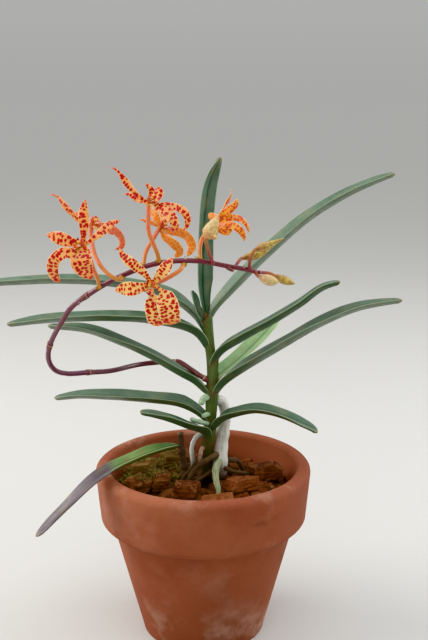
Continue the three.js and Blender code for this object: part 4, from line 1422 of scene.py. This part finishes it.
@dataclass
class FlowerSpike:
    """The dark arching stalk that carries the flowers, with its ring-like bracts and drops of nectar."""

    radius: float = 1.25
    path: tuple[Point, ...] = (
        (3.8, 0, 126), (0, -1, 128), (-5.5, 3.5, 130.5), (-11.5, 6, 133.5), (-18.5, 7, 133.5), (-29.5, 5, 133),
        (-42.5, -12, 134.5), (-50.5, -27, 138), (-58.5, -43, 142), (-62, -54, 147), (-63, -61, 153.5),
        (-61.5, -66, 160), (-58, -72, 167), (-54, -78, 173.5), (-49.5, -83, 180), (-38, -91, 189),
        (-29.5, -94, 194), (-16, -95, 199), (-2, -92, 199.5), (11, -87, 196.5), (17.5, -85, 195),
        (22, -83, 193.5),
    )
    # Places near the joints that show, where a dry bract clasps the stalk
    bracts: tuple[Point, ...] = ((1.9, -0.4, 127.0), (-11.5, 6, 133.5), (-50.5, -27, 138), (-61.5, -66, 160),
                                 (-43.5, -87.5, 184.7))
    drops: tuple[tuple[float, float, float, float], ...] = (
        (-46.2, -87.0, 182.3, 0.55), (-5.4, -93.6, 200.9, 0.5), (-1.6, -92.4, 201.0, 0.45),
        (2.8, -90.9, 198.3, 0.5), (12.6, -87.6, 194.9, 0.45), (16.6, -86.4, 196.3, 0.4),
    )
    bract_reach: float = 1.3
    bract_wall: float = 0.22
    # Rings along a bract, points round it, and rings of its inside that show in its mouth
    folds: int = 12
    around: int = 24
    tucked: int = 4
    # The stump of a stalk that never grew, on the underside near the tip
    stump: tuple[Point, ...] = ((9.8, -87, 196.6), (11.4, -88, 195.6), (12.9, -88.3, 195.0))

    def radius_at(self, t: Array) -> Array:
        """Slimmer towards the tip, a little swollen at each joint."""
        path = Path(self.path)
        swell = np.zeros(np.shape(t))
        for place in self.bracts:
            away = (np.asarray(t) - self._share(path, place)) * path.length
            swell = swell + 0.12 * np.exp(-((away / 2.2) ** 2))
        return self.radius * (1 - 0.3 * t) + swell

    @staticmethod
    def _share(path: Path, place: Point) -> float:
        """The share of the path's length nearest to a place."""
        nearest = int(np.argmin(np.linalg.norm(path.dense - np.array(place), axis=1)))
        return float(path.walked[nearest] / path.length)

    def build(self) -> None:
        """Makes the stalk, its bracts and the drops."""
        purple = Flush("dark_spike", "7a4a42", "663350", "7d2d35", "4a1f30", 0.34, 0.4).material()
        stalk = tube(self.path, self.radius_at, 300, 24, 7, 0.05, 3.0)
        place_piece(stalk.made("arching_spike", purple), Slot.SPIKE, "flower_spike")
        dry = Cane("dry_bract", "64383c", "8a5a50", "c2a08a", 0.8, 0.7).material()
        sheaths = [self._bract(i, place) for i, place in enumerate(self.bracts)]
        sheaths.append(tube(self.stump, lambda t: 1.0 - 0.45 * t, 20, 16, 5))
        place_piece(Shape.joined(sheaths).made("spike_bracts", dry), Slot.SPIKE)
        beads = Shape.joined(self._drop(*drop) for drop in self.drops)
        place_piece(beads.made("nectar_drops", Dew().material()), Slot.SPIKE)

    def _bract(self, number: int, place: Point) -> Shape:
        """A short clasping ring, open towards the spike's tip."""
        path = Path(self.path)
        share = self._share(path, place)
        reach = self.bract_reach / path.length
        shares = np.linspace(share - reach, share + reach, self.folds)
        places, first, second = path.frames(shares)
        angles = circle(self.around)
        spokes = spokes_of(first, second, angles)
        rise = np.linspace(0, 1, self.folds)
        radius = self.radius_at(shares) + 0.04 + 0.20 * rise**1.5
        lean = (rise[:, None] * (0.5 + 0.5 * np.cos(angles - 1.2))[None])[..., None]
        middles = places[:, None] + lean * path.heading(shares)[:, None] * self.bract_reach
        outer = middles + spokes * radius[:, None, None]
        inner = middles + spokes * (radius - self.bract_wall)[:, None, None]
        rings = np.concatenate([outer, inner[: -self.tucked - 1 : -1]])
        along = np.concatenate([rise, np.ones(self.tucked)])
        place_values = grid(np.cos(angles), along[:, None], 1.0)
        run = grid(np.cos(angles), np.sin(angles) + number * 9.0, along[:, None] * 4)
        return Shape.loft(rings, places[0], places[-self.tucked], place_values, run)

    def _drop(self, x: float, y: float, z: float, radius: float) -> Shape:
        """One drop, a little longer than it is wide."""
        knots = ((x, y, z + radius * 1.1), (x, y, z), (x, y, z - radius * 1.2))
        return tube(knots, lambda t: radius * bead(t, 0.05), 14, 16, 0)


@dataclass
class Tepal:
    """One sepal or petal: its points run out from the flower's hub."""

    width: float
    path: tuple[Point, ...]
    outline: Outline = Outline.SPOON
    face: Point = FRONT
    fold: float = 0.16


@dataclass
class Flower:
    """One open flower: tepals round a hub, a lip with its column, and the stalk that carries it."""

    letter: str
    hub: Point
    stalk: tuple[Point, ...]
    lip: Point
    tepals: tuple[Tepal, ...]
    lip_scale: float = 1.0
    petal_thickness: float = 0.62
    stalk_radius: float = 0.72
    style: str = "cream"

    def facing(self) -> Array:
        """The unit vector that the flower looks along."""
        return unit(np.array(self.lip, float))

    def build(self, finishes: dict[str, Material]) -> None:
        """Makes the tepals, lip, throat, column and stalk."""
        label = f"flower_{self.letter}"
        tepals = Shape.joined([self._hub(), *(self._tepal(i, t) for i, t in enumerate(self.tepals))])
        place_piece(tepals.made(f"{label}_tepals", finishes[self.style]), Slot.PETAL, f"{label}_petals")
        place_piece(self._lip().made(f"{label}_lip_lobes", finishes["lip"]), Slot.LIP, f"{label}_lip")
        place_piece(self._throat().made(f"{label}_throat", finishes["throat"]), Slot.LIP)
        place_piece(self._column().made(f"{label}_column", finishes["column"]), Slot.LIP)
        place_piece(self._stalk().made(f"{label}_pedicel", finishes["stalk"]), Slot.STALK, f"{label}_stalk")

    def _seed(self, number: int) -> float:
        """A number of its own for each part of each flower."""
        return ord(self.letter) * 7.3 + number * 3.1

    def _hub(self) -> Shape:
        """The boss where the tepals meet."""
        gaze = self.facing()
        start, end = np.array(self.hub) - gaze * 1.3, np.array(self.hub) + gaze * 0.9
        knots = (tuple(start), tuple((start + end) / 2), tuple(end))
        ball = tube(knots, lambda t: 1.25 * bead(t, 0.08), 14, 20, self._seed(9))
        ball.place[:, 1] = 0.0
        ball.place[:, 2] = -0.2
        return ball

    def _tepal(self, number: int, tepal: Tepal) -> Shape:
        """Lofts one tepal from the hub."""
        path = Path([self.hub] + [tuple(np.array(self.hub) + p) for p in tepal.path])
        spots, shares = np.array(tepal.outline.value).T
        curve = Path([(a, b, 0.0) for a, b in zip(spots, shares)])

        def half(t: Array) -> Array:
            widths = np.interp(t, curve.dense[:, 0], curve.dense[:, 1])
            closing = np.sqrt(np.clip(1 - np.clip((t - 0.95) / 0.05, 0, 1) ** 2, 0.01, 1))
            return tepal.width / 2 * widths * closing

        section = Section(self.petal_thickness, lambda t: tepal.fold * (1 - 1.3 * t), 1.8, 0.10,
                          ripple=0.22, ripples=2.6)
        return blade(path, half, section, tepal.face, 48, 28, self._seed(number), 0.2)

    def _local(self, points: Sequence[Point]) -> list[Point]:
        """Places given as (right, out along the gaze, up) from the hub, in lip-scaled millimetres."""
        gaze = self.facing()
        right = unit(np.cross(gaze, UP))
        up = np.cross(right, gaze)
        base = np.array(self.hub)
        return [tuple(base + (right * x + gaze * y + up * z) * self.lip_scale) for x, y, z in points]

    def _lip(self) -> Shape:
        """Two upright side lobes and a tongue that bends down."""
        size = self.lip_scale
        section = Section(0.5, lambda t: 0.5 - 0.3 * t, 1.6, 0.0, 0.0, 0.1, 1.5)
        lobe = ((0.5, 1.2, -0.9), (1.25, 1.8, 0.0), (1.35, 2.3, 1.2), (0.9, 2.9, 2.2))
        tongue = ((0, 1.2, -1.1), (0, 2.4, -1.1), (0, 3.6, -1.3), (0, 4.2, -2.2), (0, 4.0, -3.0))
        parts = []
        for number, side in enumerate((-1, 1)):
            path = Path(self._local([(side * x, y, z) for x, y, z in lobe]))
            inward = tuple(-side * c for c in unit(np.cross(self.facing(), UP)))
            parts.append(blade(path, lambda t: size * bead(0.12 + 0.86 * t, 0.02), section, inward, 24, 20,
                               self._seed(20 + number)))

        def half(t: Array) -> Array:
            return size * (0.55 + 0.65 * np.sin(t * math.pi) ** 1.5) * blunt(t, 6, 0.01)

        parts.append(blade(Path(self._local(tongue)), half, section, UP, 30, 20, self._seed(23)))
        return Shape.joined(parts)

    def _throat(self) -> Shape:
        """The small sac behind the lip with its yellow mouth and white callus."""
        size = self.lip_scale
        sac = ((0, 0.6, -0.7), (0, 1.3, -1.6), (0, 1.2, -2.8), (0, 0.9, -3.6))
        parts = [tube(self._local(sac), lambda t: size * (0.95 - 0.45 * t), 26, 20, self._seed(30))]
        for number, side in enumerate((-1, 0, 1)):
            crest = -0.5 + 0.25 * (side == 0)
            ridge = ((side * 0.55, 1.7, -0.8), (side * 0.6, 2.3, crest), (side * 0.5, 2.9, -0.8))
            parts.append(tube(self._local(ridge), lambda t: size * 0.42 * bead(t), 14, 14,
                              self._seed(31 + number)))
        return Shape.joined(parts)

    def _column(self) -> Shape:
        """The short thick column that ends in its cap."""
        size = self.lip_scale
        post_path = self._local(((0, 0.2, 0.3), (0, 1.2, 0.75), (0, 2.1, 0.8), (0, 2.7, 0.45)))
        cap_path = self._local(((0, 2.3, 0.75), (0, 2.85, 0.55), (0, 3.3, 0.15)))
        post = tube(post_path, lambda t: size * (0.75 + 0.08 * np.sin(t * 3)), 24, 20, self._seed(40))
        cap = tube(cap_path, lambda t: size * 0.78 * bead(t), 18, 18, self._seed(41))
        cap.place[:, 1] = 1.0
        return Shape.joined([post, cap])

    def _stalk(self) -> Shape:
        """The ribbed, slightly twisted pedicel with its swollen foot and a small bract."""
        knots, seed = [*self.stalk, self.hub], self._seed(50)

        def radius(t: Array) -> Array:
            return self.stalk_radius * (1 + 0.45 * np.exp(-((t / 0.07) ** 2)) + 0.14 * t)

        shape = tube(knots, radius, 70, 24, seed)
        places = Path(knots).at(shape.place[:, 1])
        around = np.arctan2(shape.run[:, 1] - seed * SEED_STEP, shape.run[:, 0])
        rib = 1 + 0.07 * np.cos(6 * around + 5 * shape.place[:, 1])
        shape.points = places + (shape.points - places) * rib[:, None]
        foot = np.array(self.stalk[0])
        out = unit(np.array(self.stalk[1]) - foot)
        side = unit(np.cross(out, (0.3, -1.0, 0.1)))
        steps = ((0.3, 0.0), (1.0, 0.7), (1.35, 1.7))
        path = Path([tuple(foot - side * aside + out * along) for aside, along in steps])
        section = Section(0.3, lambda t: 0.5 + 0 * t, 1.5)
        bract = blade(path, lambda t: 0.75 * blunt(t, 1.5, 0.01), section, tuple(-side), 14, 14, 3.0)
        bract.place[:, 1] = 0.0
        return Shape.joined([shape, bract])


@dataclass
class Bud:
    """One closed bud: a stalk, a spindle of closed sepals, and on the largest the young lip's spur."""

    number: int
    radius: float
    stalk: tuple[Point, ...]
    tip: Point
    widest: float = 0.38
    taper: float = 0.85
    style: str = "olive"
    spur: Point | None = None

    def build(self, finish: Material, stalk_finish: Material) -> None:
        """Makes the bud and its stalk."""
        neck = np.array(self.stalk[-1])
        tip = np.array(self.tip)
        parts = [self._spindle(neck, tip)]
        if self.spur:
            heart = neck + (tip - neck) * 0.30
            parts.append(tube((tuple(heart), tuple((heart + self.spur) / 2 + [0, 0, -0.3]), self.spur),
                              lambda t: self.radius * (0.66 - 0.32 * t), 24, 20, 3))
            parts[-1].place[:, 1] *= 0.1
        place_piece(Shape.joined(parts).made(f"bud_{self.number}_sepals", finish), Slot.BUD, f"bud_{self.number}")
        last = tuple(neck + (tip - neck) * 0.06)
        stem = tube([*self.stalk, last], self._stalk_radius, 30, 16, self.number)
        place_piece(stem.made(f"bud_{self.number}_stalk", stalk_finish), Slot.STALK)

    @staticmethod
    def _stalk_radius(t: Array) -> Array:
        """The stalk's radius: swollen at its foot."""
        return 0.58 + 0.35 * np.exp(-((t / 0.14) ** 2)) + 0.12 * t

    def _spindle(self, neck: Array, tip: Array) -> Shape:
        """The closed sepals: three rounded sides with seams between them."""
        middle = (neck + tip) / 2 + np.array([0, 0, -0.25])
        path = Path([tuple(neck), tuple(middle), tuple(tip)])
        shares = np.linspace(0, 1, 56)
        places, first, second = path.frames(shares, FRONT)
        rising = np.sin(np.clip(shares / self.widest, 0, 1) * math.pi / 2) ** 0.75
        past = np.clip((shares - self.widest) / (1 - self.widest), 0, 1)
        falling = np.cos(past * math.pi / 2) ** self.taper
        radii = 0.30 + (self.radius * 1.08 - 0.30) * rising * falling
        radii = radii * blunt(shares, 14, 0.02)
        angles = circle(48)
        across = np.abs((angles * 3 / TAU) % 1 - 0.5) * 2
        seams, sides = 1 - 0.10 * np.exp(-((across / 0.18) ** 2)), 1 + 0.06 * np.cos(3 * angles)
        reach = radii[:, None] * (seams * sides)[None]
        rings = places[:, None] + spokes_of(first, second, angles) * reach[..., None]
        place = grid(1 - across, shares[:, None], 1.0)
        run = grid(self.radius * np.abs(angles - math.pi), self.number * 15.0, shares[:, None] * path.length)
        return Shape.loft(rings, places[0], places[-1], place, run)


FLOWERS = (
    Flower(
        "a", (-42, -100, 206.5), ((-37.5, -91.5, 189), (-38, -94, 193), (-39.5, -96, 198), (-40.5, -98, 203)),
        (-2, -2.6, 1),
        (
            Tepal(4.0, ((0.5, -1, 8.5), (0.4, -0.5, 12.5), (1.2, 0, 16.6))),
            Tepal(4.9, ((-6.5, -2, 2.3), (-13.2, 0, 4.2))),
            Tepal(3.3, ((6, 2, 4.2), (9.5, 4, 7.2), (12.8, 6, 8.2))),
            Tepal(4.5, ((-3.3, -3, -2.2), (-6.6, -5, -2), (-9.6, -5, -4.2), (-10.9, -4, -7.6), (-10.7, -2, -11),
                  (-9.2, 1, -13.8)), Outline.STRAP),
            Tepal(8.0, ((-0.5, -3, -3.2), (-0.3, -4, -6.2), (2.7, -1, -12.4)), Outline.WEDGE),
        ),
        style="peach",
    ),
    Flower(
        "b", (-40.5, -88, 212.5),
        ((-28.8, -94, 193.9), (-30, -97, 193.4), (-33, -97.5, 195), (-36, -96, 197.7), (-39, -92.5, 202),
         (-40.5, -89, 208)),
        (2.6, -1.6, 1.6),
        (
            Tepal(2.3, ((-4, -1, 1.2), (-6.6, -1, 4), (-9.3, -1, 6.9), (-11.6, 0, 9.8), (-13.3, 0, 10.9),
                  (-15.2, 1, 11.1)), Outline.HORN),
            Tepal(2.8, ((-3.5, 2, 2.2), (-7.6, 5, 3.9))),
            Tepal(3.8, ((0.8, 5, 0.8), (1.4, 10, 1.4)), Outline.SPOON, AWAY),
            Tepal(3.0, ((5, 0, -0.5), (8.4, 0, -2), (10.6, 1, -4.6), (11.2, 2, -7.4), (10.3, 2, -9.2),
                  (8.4, 2, -9.6)), Outline.STRAP, AWAY),
            Tepal(3.2, ((3.4, 4, -1.2), (5.6, 7.5, -3.2), (7.0, 10, -5.4)), Outline.STRAP, AWAY),
        ),
        style="apricot",
    ),
    Flower(
        "c", (-18.5, -98, 221.5),
        ((-15, -95, 199.5), (-15.5, -97, 203), (-17, -98, 207), (-18.5, -98.5, 211.5), (-18.5, -98.5, 218)),
        (2.4, -1.6, 2),
        (
            Tepal(2.5, ((-3.6, -1, 2.9), (-5.8, -2, 5.3), (-7.9, -2, 8), (-9.5, -2, 10.2), (-10.9, -2, 12),
                  (-13, -1, 13)), Outline.HORN),
            Tepal(2.0, ((-4, 2, 1), (-6.2, 3, 2.6), (-8.9, 4, 3.1))),
            Tepal(2.7, ((1.3, 1, 2.4), (1.0, 0.5, 4.9), (-0.9, 0, 7.2)), Outline.WEDGE),
            Tepal(3.1, ((4.6, 1, -1), (8, 1, -1.2), (11.2, 2, -2.2), (13.6, 3, -4.6), (14, 3, -7.6),
                  (12.6, 3, -10.2)), Outline.STRAP, (0.3, -1.0, 0.5)),
            Tepal(3.9, ((4.4, -2, -1.6), (7.4, -4, -3), (9.2, -5, -5.4), (9.6, -5, -7.8), (8.4, -4, -10.2)),
                  Outline.STRAP, (0.2, -1.0, 0.3)),
            Tepal(4.0, ((1.6, -0.6, 0.8), (2.9, -1.4, 2.0), (3.9, -1.6, 3.8), (3.7, -1.0, 6.0)), Outline.HOOD,
                  (-0.5, -1.0, 0.3), 0.5),
        ),
        lip_scale=0.9,
        style="peach",
    ),
    Flower(
        "d", (-15, -86, 211), ((-21, -94.5, 197.5), (-20, -92, 203), (-18, -90, 206.5), (-16.5, -88, 209)),
        (2.6, -1.6, 1.2),
        (
            Tepal(3.6, ((-1.5, 0, 4), (-3.5, 2, 8)), Outline.SPOON, AWAY),
            Tepal(2.2, ((-3.5, -1, 2.2), (-7.7, -2, 3.6)), Outline.HORN, AWAY),
            Tepal(4.8, ((1.5, 2.5, 3.0), (3, 6, 4.6))),
            Tepal(4.0, ((3, 2, -1.6), (7.4, 3, -2.2), (10.6, 4, -4.6), (11.8, 4, -8), (10, 3, -11.4)),
                  Outline.STRAP, AWAY),
            Tepal(4.0, ((1.5, -1.5, -2.8), (4, -3, -4.8), (6.4, -3, -6.8), (7.2, -2, -9), (5.6, -1.5, -11.2)),
                  Outline.STRAP, AWAY),
        ),
        style="gold",
    ),
    Flower(
        "e", (-17.5, -99, 192), ((-6, -92.6, 199), (-7, -96, 197), (-10, -97, 195), (-14, -98, 193)),
        (-0.8, -3, -0.6),
        (
            Tepal(3.9, ((-2.8, -1, 4.4), (-6.2, -2, 7.4), (-9.9, -1, 10.4), (-11.7, 0, 13.2))),
            Tepal(5.4, ((-6.5, -2.5, -1.2), (-10.5, -1, -1.5), (-13.7, 0, -2.2))),
            Tepal(4.5, ((4, -2, 5), (7.6, 0, 9.8))),
            Tepal(7.4, ((0.2, -0.6, -4.2), (1.2, -1.8, -9.5), (2.0, -0.8, -15.6)), Outline.FAN, FRONT, 0.05),
            Tepal(8.0, ((3.6, -1, -2.4), (6.0, -3.4, -7.8), (6.9, -2.4, -14.7)), Outline.FAN, FRONT, 0.05),
        ),
    ),
    Flower(
        "f", (7, -90, 214), ((0, -91, 199.5), (0, -89, 204.5), (1, -87.5, 207.5), (4.5, -87.5, 211.5)),
        (2.8, -1.4, 1.8),
        (
            Tepal(4.2, ((-1.8, 4, 1.0), (-3.5, 8, -0.2)), Outline.SPOON, AWAY),
            Tepal(1.9, ((1.0, -0.5, 3.2), (2.6, -0.5, 6.4), (4.2, 0, 9.3), (4.3, 0, 12)), Outline.HORN,
                  (0.9, -0.5, 0.1)),
            Tepal(2.9, ((1.6, -2.5, 2.9), (4, -4.5, 4.9), (5.8, -5.5, 6.6), (6.8, -6, 8.9)), Outline.STRAP),
            Tepal(2.6, ((3.2, -0.5, 1.0), (6, -0.8, 1.4), (8.3, -1, 0.6), (10.2, -1, -1.2), (11.2, 0, -4.4)),
                  Outline.WEDGE, (0.2, -0.9, 0.6)),
            Tepal(2.8, ((2, -3, -1.0), (4.6, -5.5, -0.8), (7, -7, -1.8), (8.8, -7, -4.0), (9.2, -6, -6.6)),
                  Outline.STRAP),
            Tepal(5.0, ((1.0, -2.4, -1.4), (2.6, -4.2, -2.4), (4.8, -4.8, -3.0)), Outline.HOOD),
            Tepal(3.4, ((1.2, -1.6, 0.6), (3.0, -2.8, 1.4), (5.2, -3.2, 2.2)), Outline.HOOD),
        ),
        style="amber",
    ),
)

BUDS = (
    Bud(1, 2.6, ((5, -89.8, 197.6), (3.2, -94, 203.5), (2.2, -95.5, 208.2)), (7.2, -95, 217.4), 0.26, 1.35,
        "cream", (6.1, -97.4, 208.7)),
    Bud(2, 1.5, ((18.5, -84.6, 194.7), (19, -87.5, 200), (20.5, -88, 203)), (31.5, -86, 207.1), 0.26, 1.5),
    Bud(3, 1.7, ((13, -86.3, 195.9), (14.2, -84.5, 197.5), (15.6, -82.5, 198.8)), (26.6, -80, 202), 0.52, 0.9),
    Bud(4, 1.9, ((20.5, -83.7, 194), (22, -85.5, 192.5)), (29.6, -87, 190.4), 0.52, 0.7, "blush"),
    Bud(5, 1.5, ((21.8, -83.1, 193.6), (26, -80.5, 192.8), (28.5, -80, 191.8)), (36.5, -80, 188.5), 0.46, 0.75),
)


@dataclass
class Spray:
    """The whole spray: the spike with its six flowers and five buds."""

    spike: FlowerSpike = field(default_factory=FlowerSpike)
    flowers: tuple[Flower, ...] = FLOWERS
    buds: tuple[Bud, ...] = BUDS

    def build(self) -> None:
        """Makes the spike, then each flower and bud in shared finishes."""
        self.spike.build()
        finishes = {
            "cream": Spotted("cream_tepal").material(),
            "peach": Spotted("peach_tepal", "efa446", "f1ac6a", "e0744c", "f5d0a2").material(),
            "apricot": Spotted("apricot_tepal", "eba550", "eb9c68", "dd7052", "f2b890", "b01c18", "e47f60",
                               "c84a3c", 1.2, 0.38, 0.2, 0.95).material(),
            "amber": Spotted("amber_tepal", "de6a2c", "f2ac42", "f3bb5c", "f9d894", "c83f1e", "f0a04a", "cf5c2a",
                             1.3, 0.40, 0.22, 0.9).material(),
            "gold": Spotted("gold_tepal", "f7dfaa", "f0aa50", "ee9c3e", "fbe6ba", "c8531f", "f09a40", "c8501e",
                            1.1, 0.40, 0.3, 0.8).material(),
            "lip": Spotted("lip_skin", "e8a53c", "e08a5c", "c22a20", "f0b088", "a80f14", "c8402a", "980d10", 0.8,
                           0.48).material(),
            "throat": Flush("throat_skin", "f0d7b8", "eab13a", "f3ead6", "d9772f", 0.4, 0.2).material(),
            "column": Flush("column_skin", "e7a35a", "d86a4b", "f0c65a", "b93a2a", 0.4, 0.2).material(),
            "stalk": Flush("pedicel_skin", "c49a3c", "e0824a", "e07a66", "b9472f").material(),
        }
        for flower in self.flowers:
            flower.build(finishes)
        bud_finishes = {
            "olive": Spotted("bud_skin", "a06648", "c6b55a", "b0aa4e", "dcd684", "84502e", "b8a04e", "95602f",
                             1.0, 0.42, 0.55, 0.75).material(),
            "cream": Spotted("pale_bud_skin", "dd9c5e", "dccb8c", "d4c46c", "e8dc9c", "a0684a", "cbb96a",
                             "b98a46", 1.3, 0.38, 0.7, 0.6).material(),
            "blush": Spotted("blush_bud_skin", "b4687a", "d8ca86", "c8b962", "eee0c0", "a88058", "cbb96a",
                             "bd9a5c", 1.2, 0.38, 0.7, 0.55).material(),
        }
        bud_stalk = Flush("bud_stalk_skin", "7d3436", "a04038", "c2904a", "6b2a30").material()
        for bud in self.buds:
            bud.build(bud_finishes[bud.style], bud_stalk)


# The set


@dataclass
class Studio:
    """A plain pale floor, soft light from both sides, and the camera at the photograph's viewing angle."""

    camera_at: Point = (5.2, -459.0, 261.0)
    camera_pitch: float = 12.9
    lens: float = 56.25
    sensor: float = 36.0
    floor_size: float = 40.0
    room_light: float = 0.85
    low_sky: str = "bebebc"
    high_sky: str = "f4f5f7"
    # What the lights look at, in metres
    aim: Point = (0.0, -0.02, 0.13)

    def build(self) -> None:
        """Makes the floor, the lights, the world and the camera."""
        self._floor()
        self._light("left_softbox", (-0.75, 0.05, 0.55), 0.7, 7.5, (1.0, 0.97, 0.93))
        self._light("right_softbox", (0.80, 0.15, 0.50), 0.6, 4.5, (0.95, 0.97, 1.0))
        self._light("top_softbox", (0.05, -0.55, 1.00), 0.8, 3.5, (1.0, 1.0, 1.0))
        self._world()
        self._camera()

    def _floor(self) -> None:
        """The floor that the pot stands on."""
        mesh = bpy.data.meshes.new("pale_floor")
        half = self.floor_size / 2
        corners = [(x * half, y * half, 0) for x, y in ((-1, -1), (1, -1), (1, 1), (-1, 1))]
        mesh.from_pydata(corners, [], [(0, 1, 2, 3)])
        mesh.materials.append(PaleGround().material())
        floor = bpy.data.objects.new("pale_floor", mesh)
        bpy.context.scene.collection.objects.link(floor)

    def _light(self, name: str, at: Point, size: float, power: float, colour: Point) -> None:
        """One square soft light that looks at the middle of the plant.

        Args:
            name: its name.
            at: its place, in metres.
            size: its side, in metres.
            power: its strength, in watts.
            colour: its colour.
        """
        lamp = bpy.data.lights.new(name, "AREA")
        lamp.size, lamp.energy, lamp.color = size, power, colour
        light = bpy.data.objects.new(name, lamp)
        light.location = at
        light.rotation_euler = (Vector(self.aim) - Vector(at)).to_track_quat("-Z", "Y").to_euler()
        bpy.context.scene.collection.objects.link(light)

    def _world(self) -> None:
        """Even pale light from all round."""
        world = bpy.data.worlds.new("soft_room")
        world.use_nodes = True
        g = Graph(world.node_tree)
        height = g.part(g.add("TexCoord").outputs["Generated"], "Z")
        sky = g.mix(g.spread(height, -0.02, 0.55), tone(self.low_sky), tone(self.high_sky))
        ground = world.node_tree.nodes["Background"]
        g.tree.links.new(sky, ground.inputs["Color"])
        ground.inputs["Strength"].default_value = self.room_light
        bpy.context.scene.world = world
        bpy.context.scene.view_settings.view_transform = "Khronos PBR Neutral"

    def _camera(self) -> None:
        """The camera, from the front and a little above."""
        data = bpy.data.cameras.new("viewpoint")
        data.lens, data.sensor_width = self.lens, self.sensor
        data.clip_start = 0.01
        camera = bpy.data.objects.new("viewpoint", data)
        camera.location = Vector(self.camera_at) * MM
        camera.rotation_euler = (math.radians(90 - self.camera_pitch), 0, 0)
        bpy.context.scene.collection.objects.link(camera)
        bpy.context.scene.camera = camera


def main() -> None:
    """Builds every sub-assembly in order."""
    logging.basicConfig(level=logging.INFO, format="%(message)s")
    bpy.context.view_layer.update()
    Studio().build()
    ClayPot().build()
    BarkBed().build()
    Stem().build()
    Foliage().build()
    Roots().build()
    Spray().build()


if __name__ == "__main__":
    main()
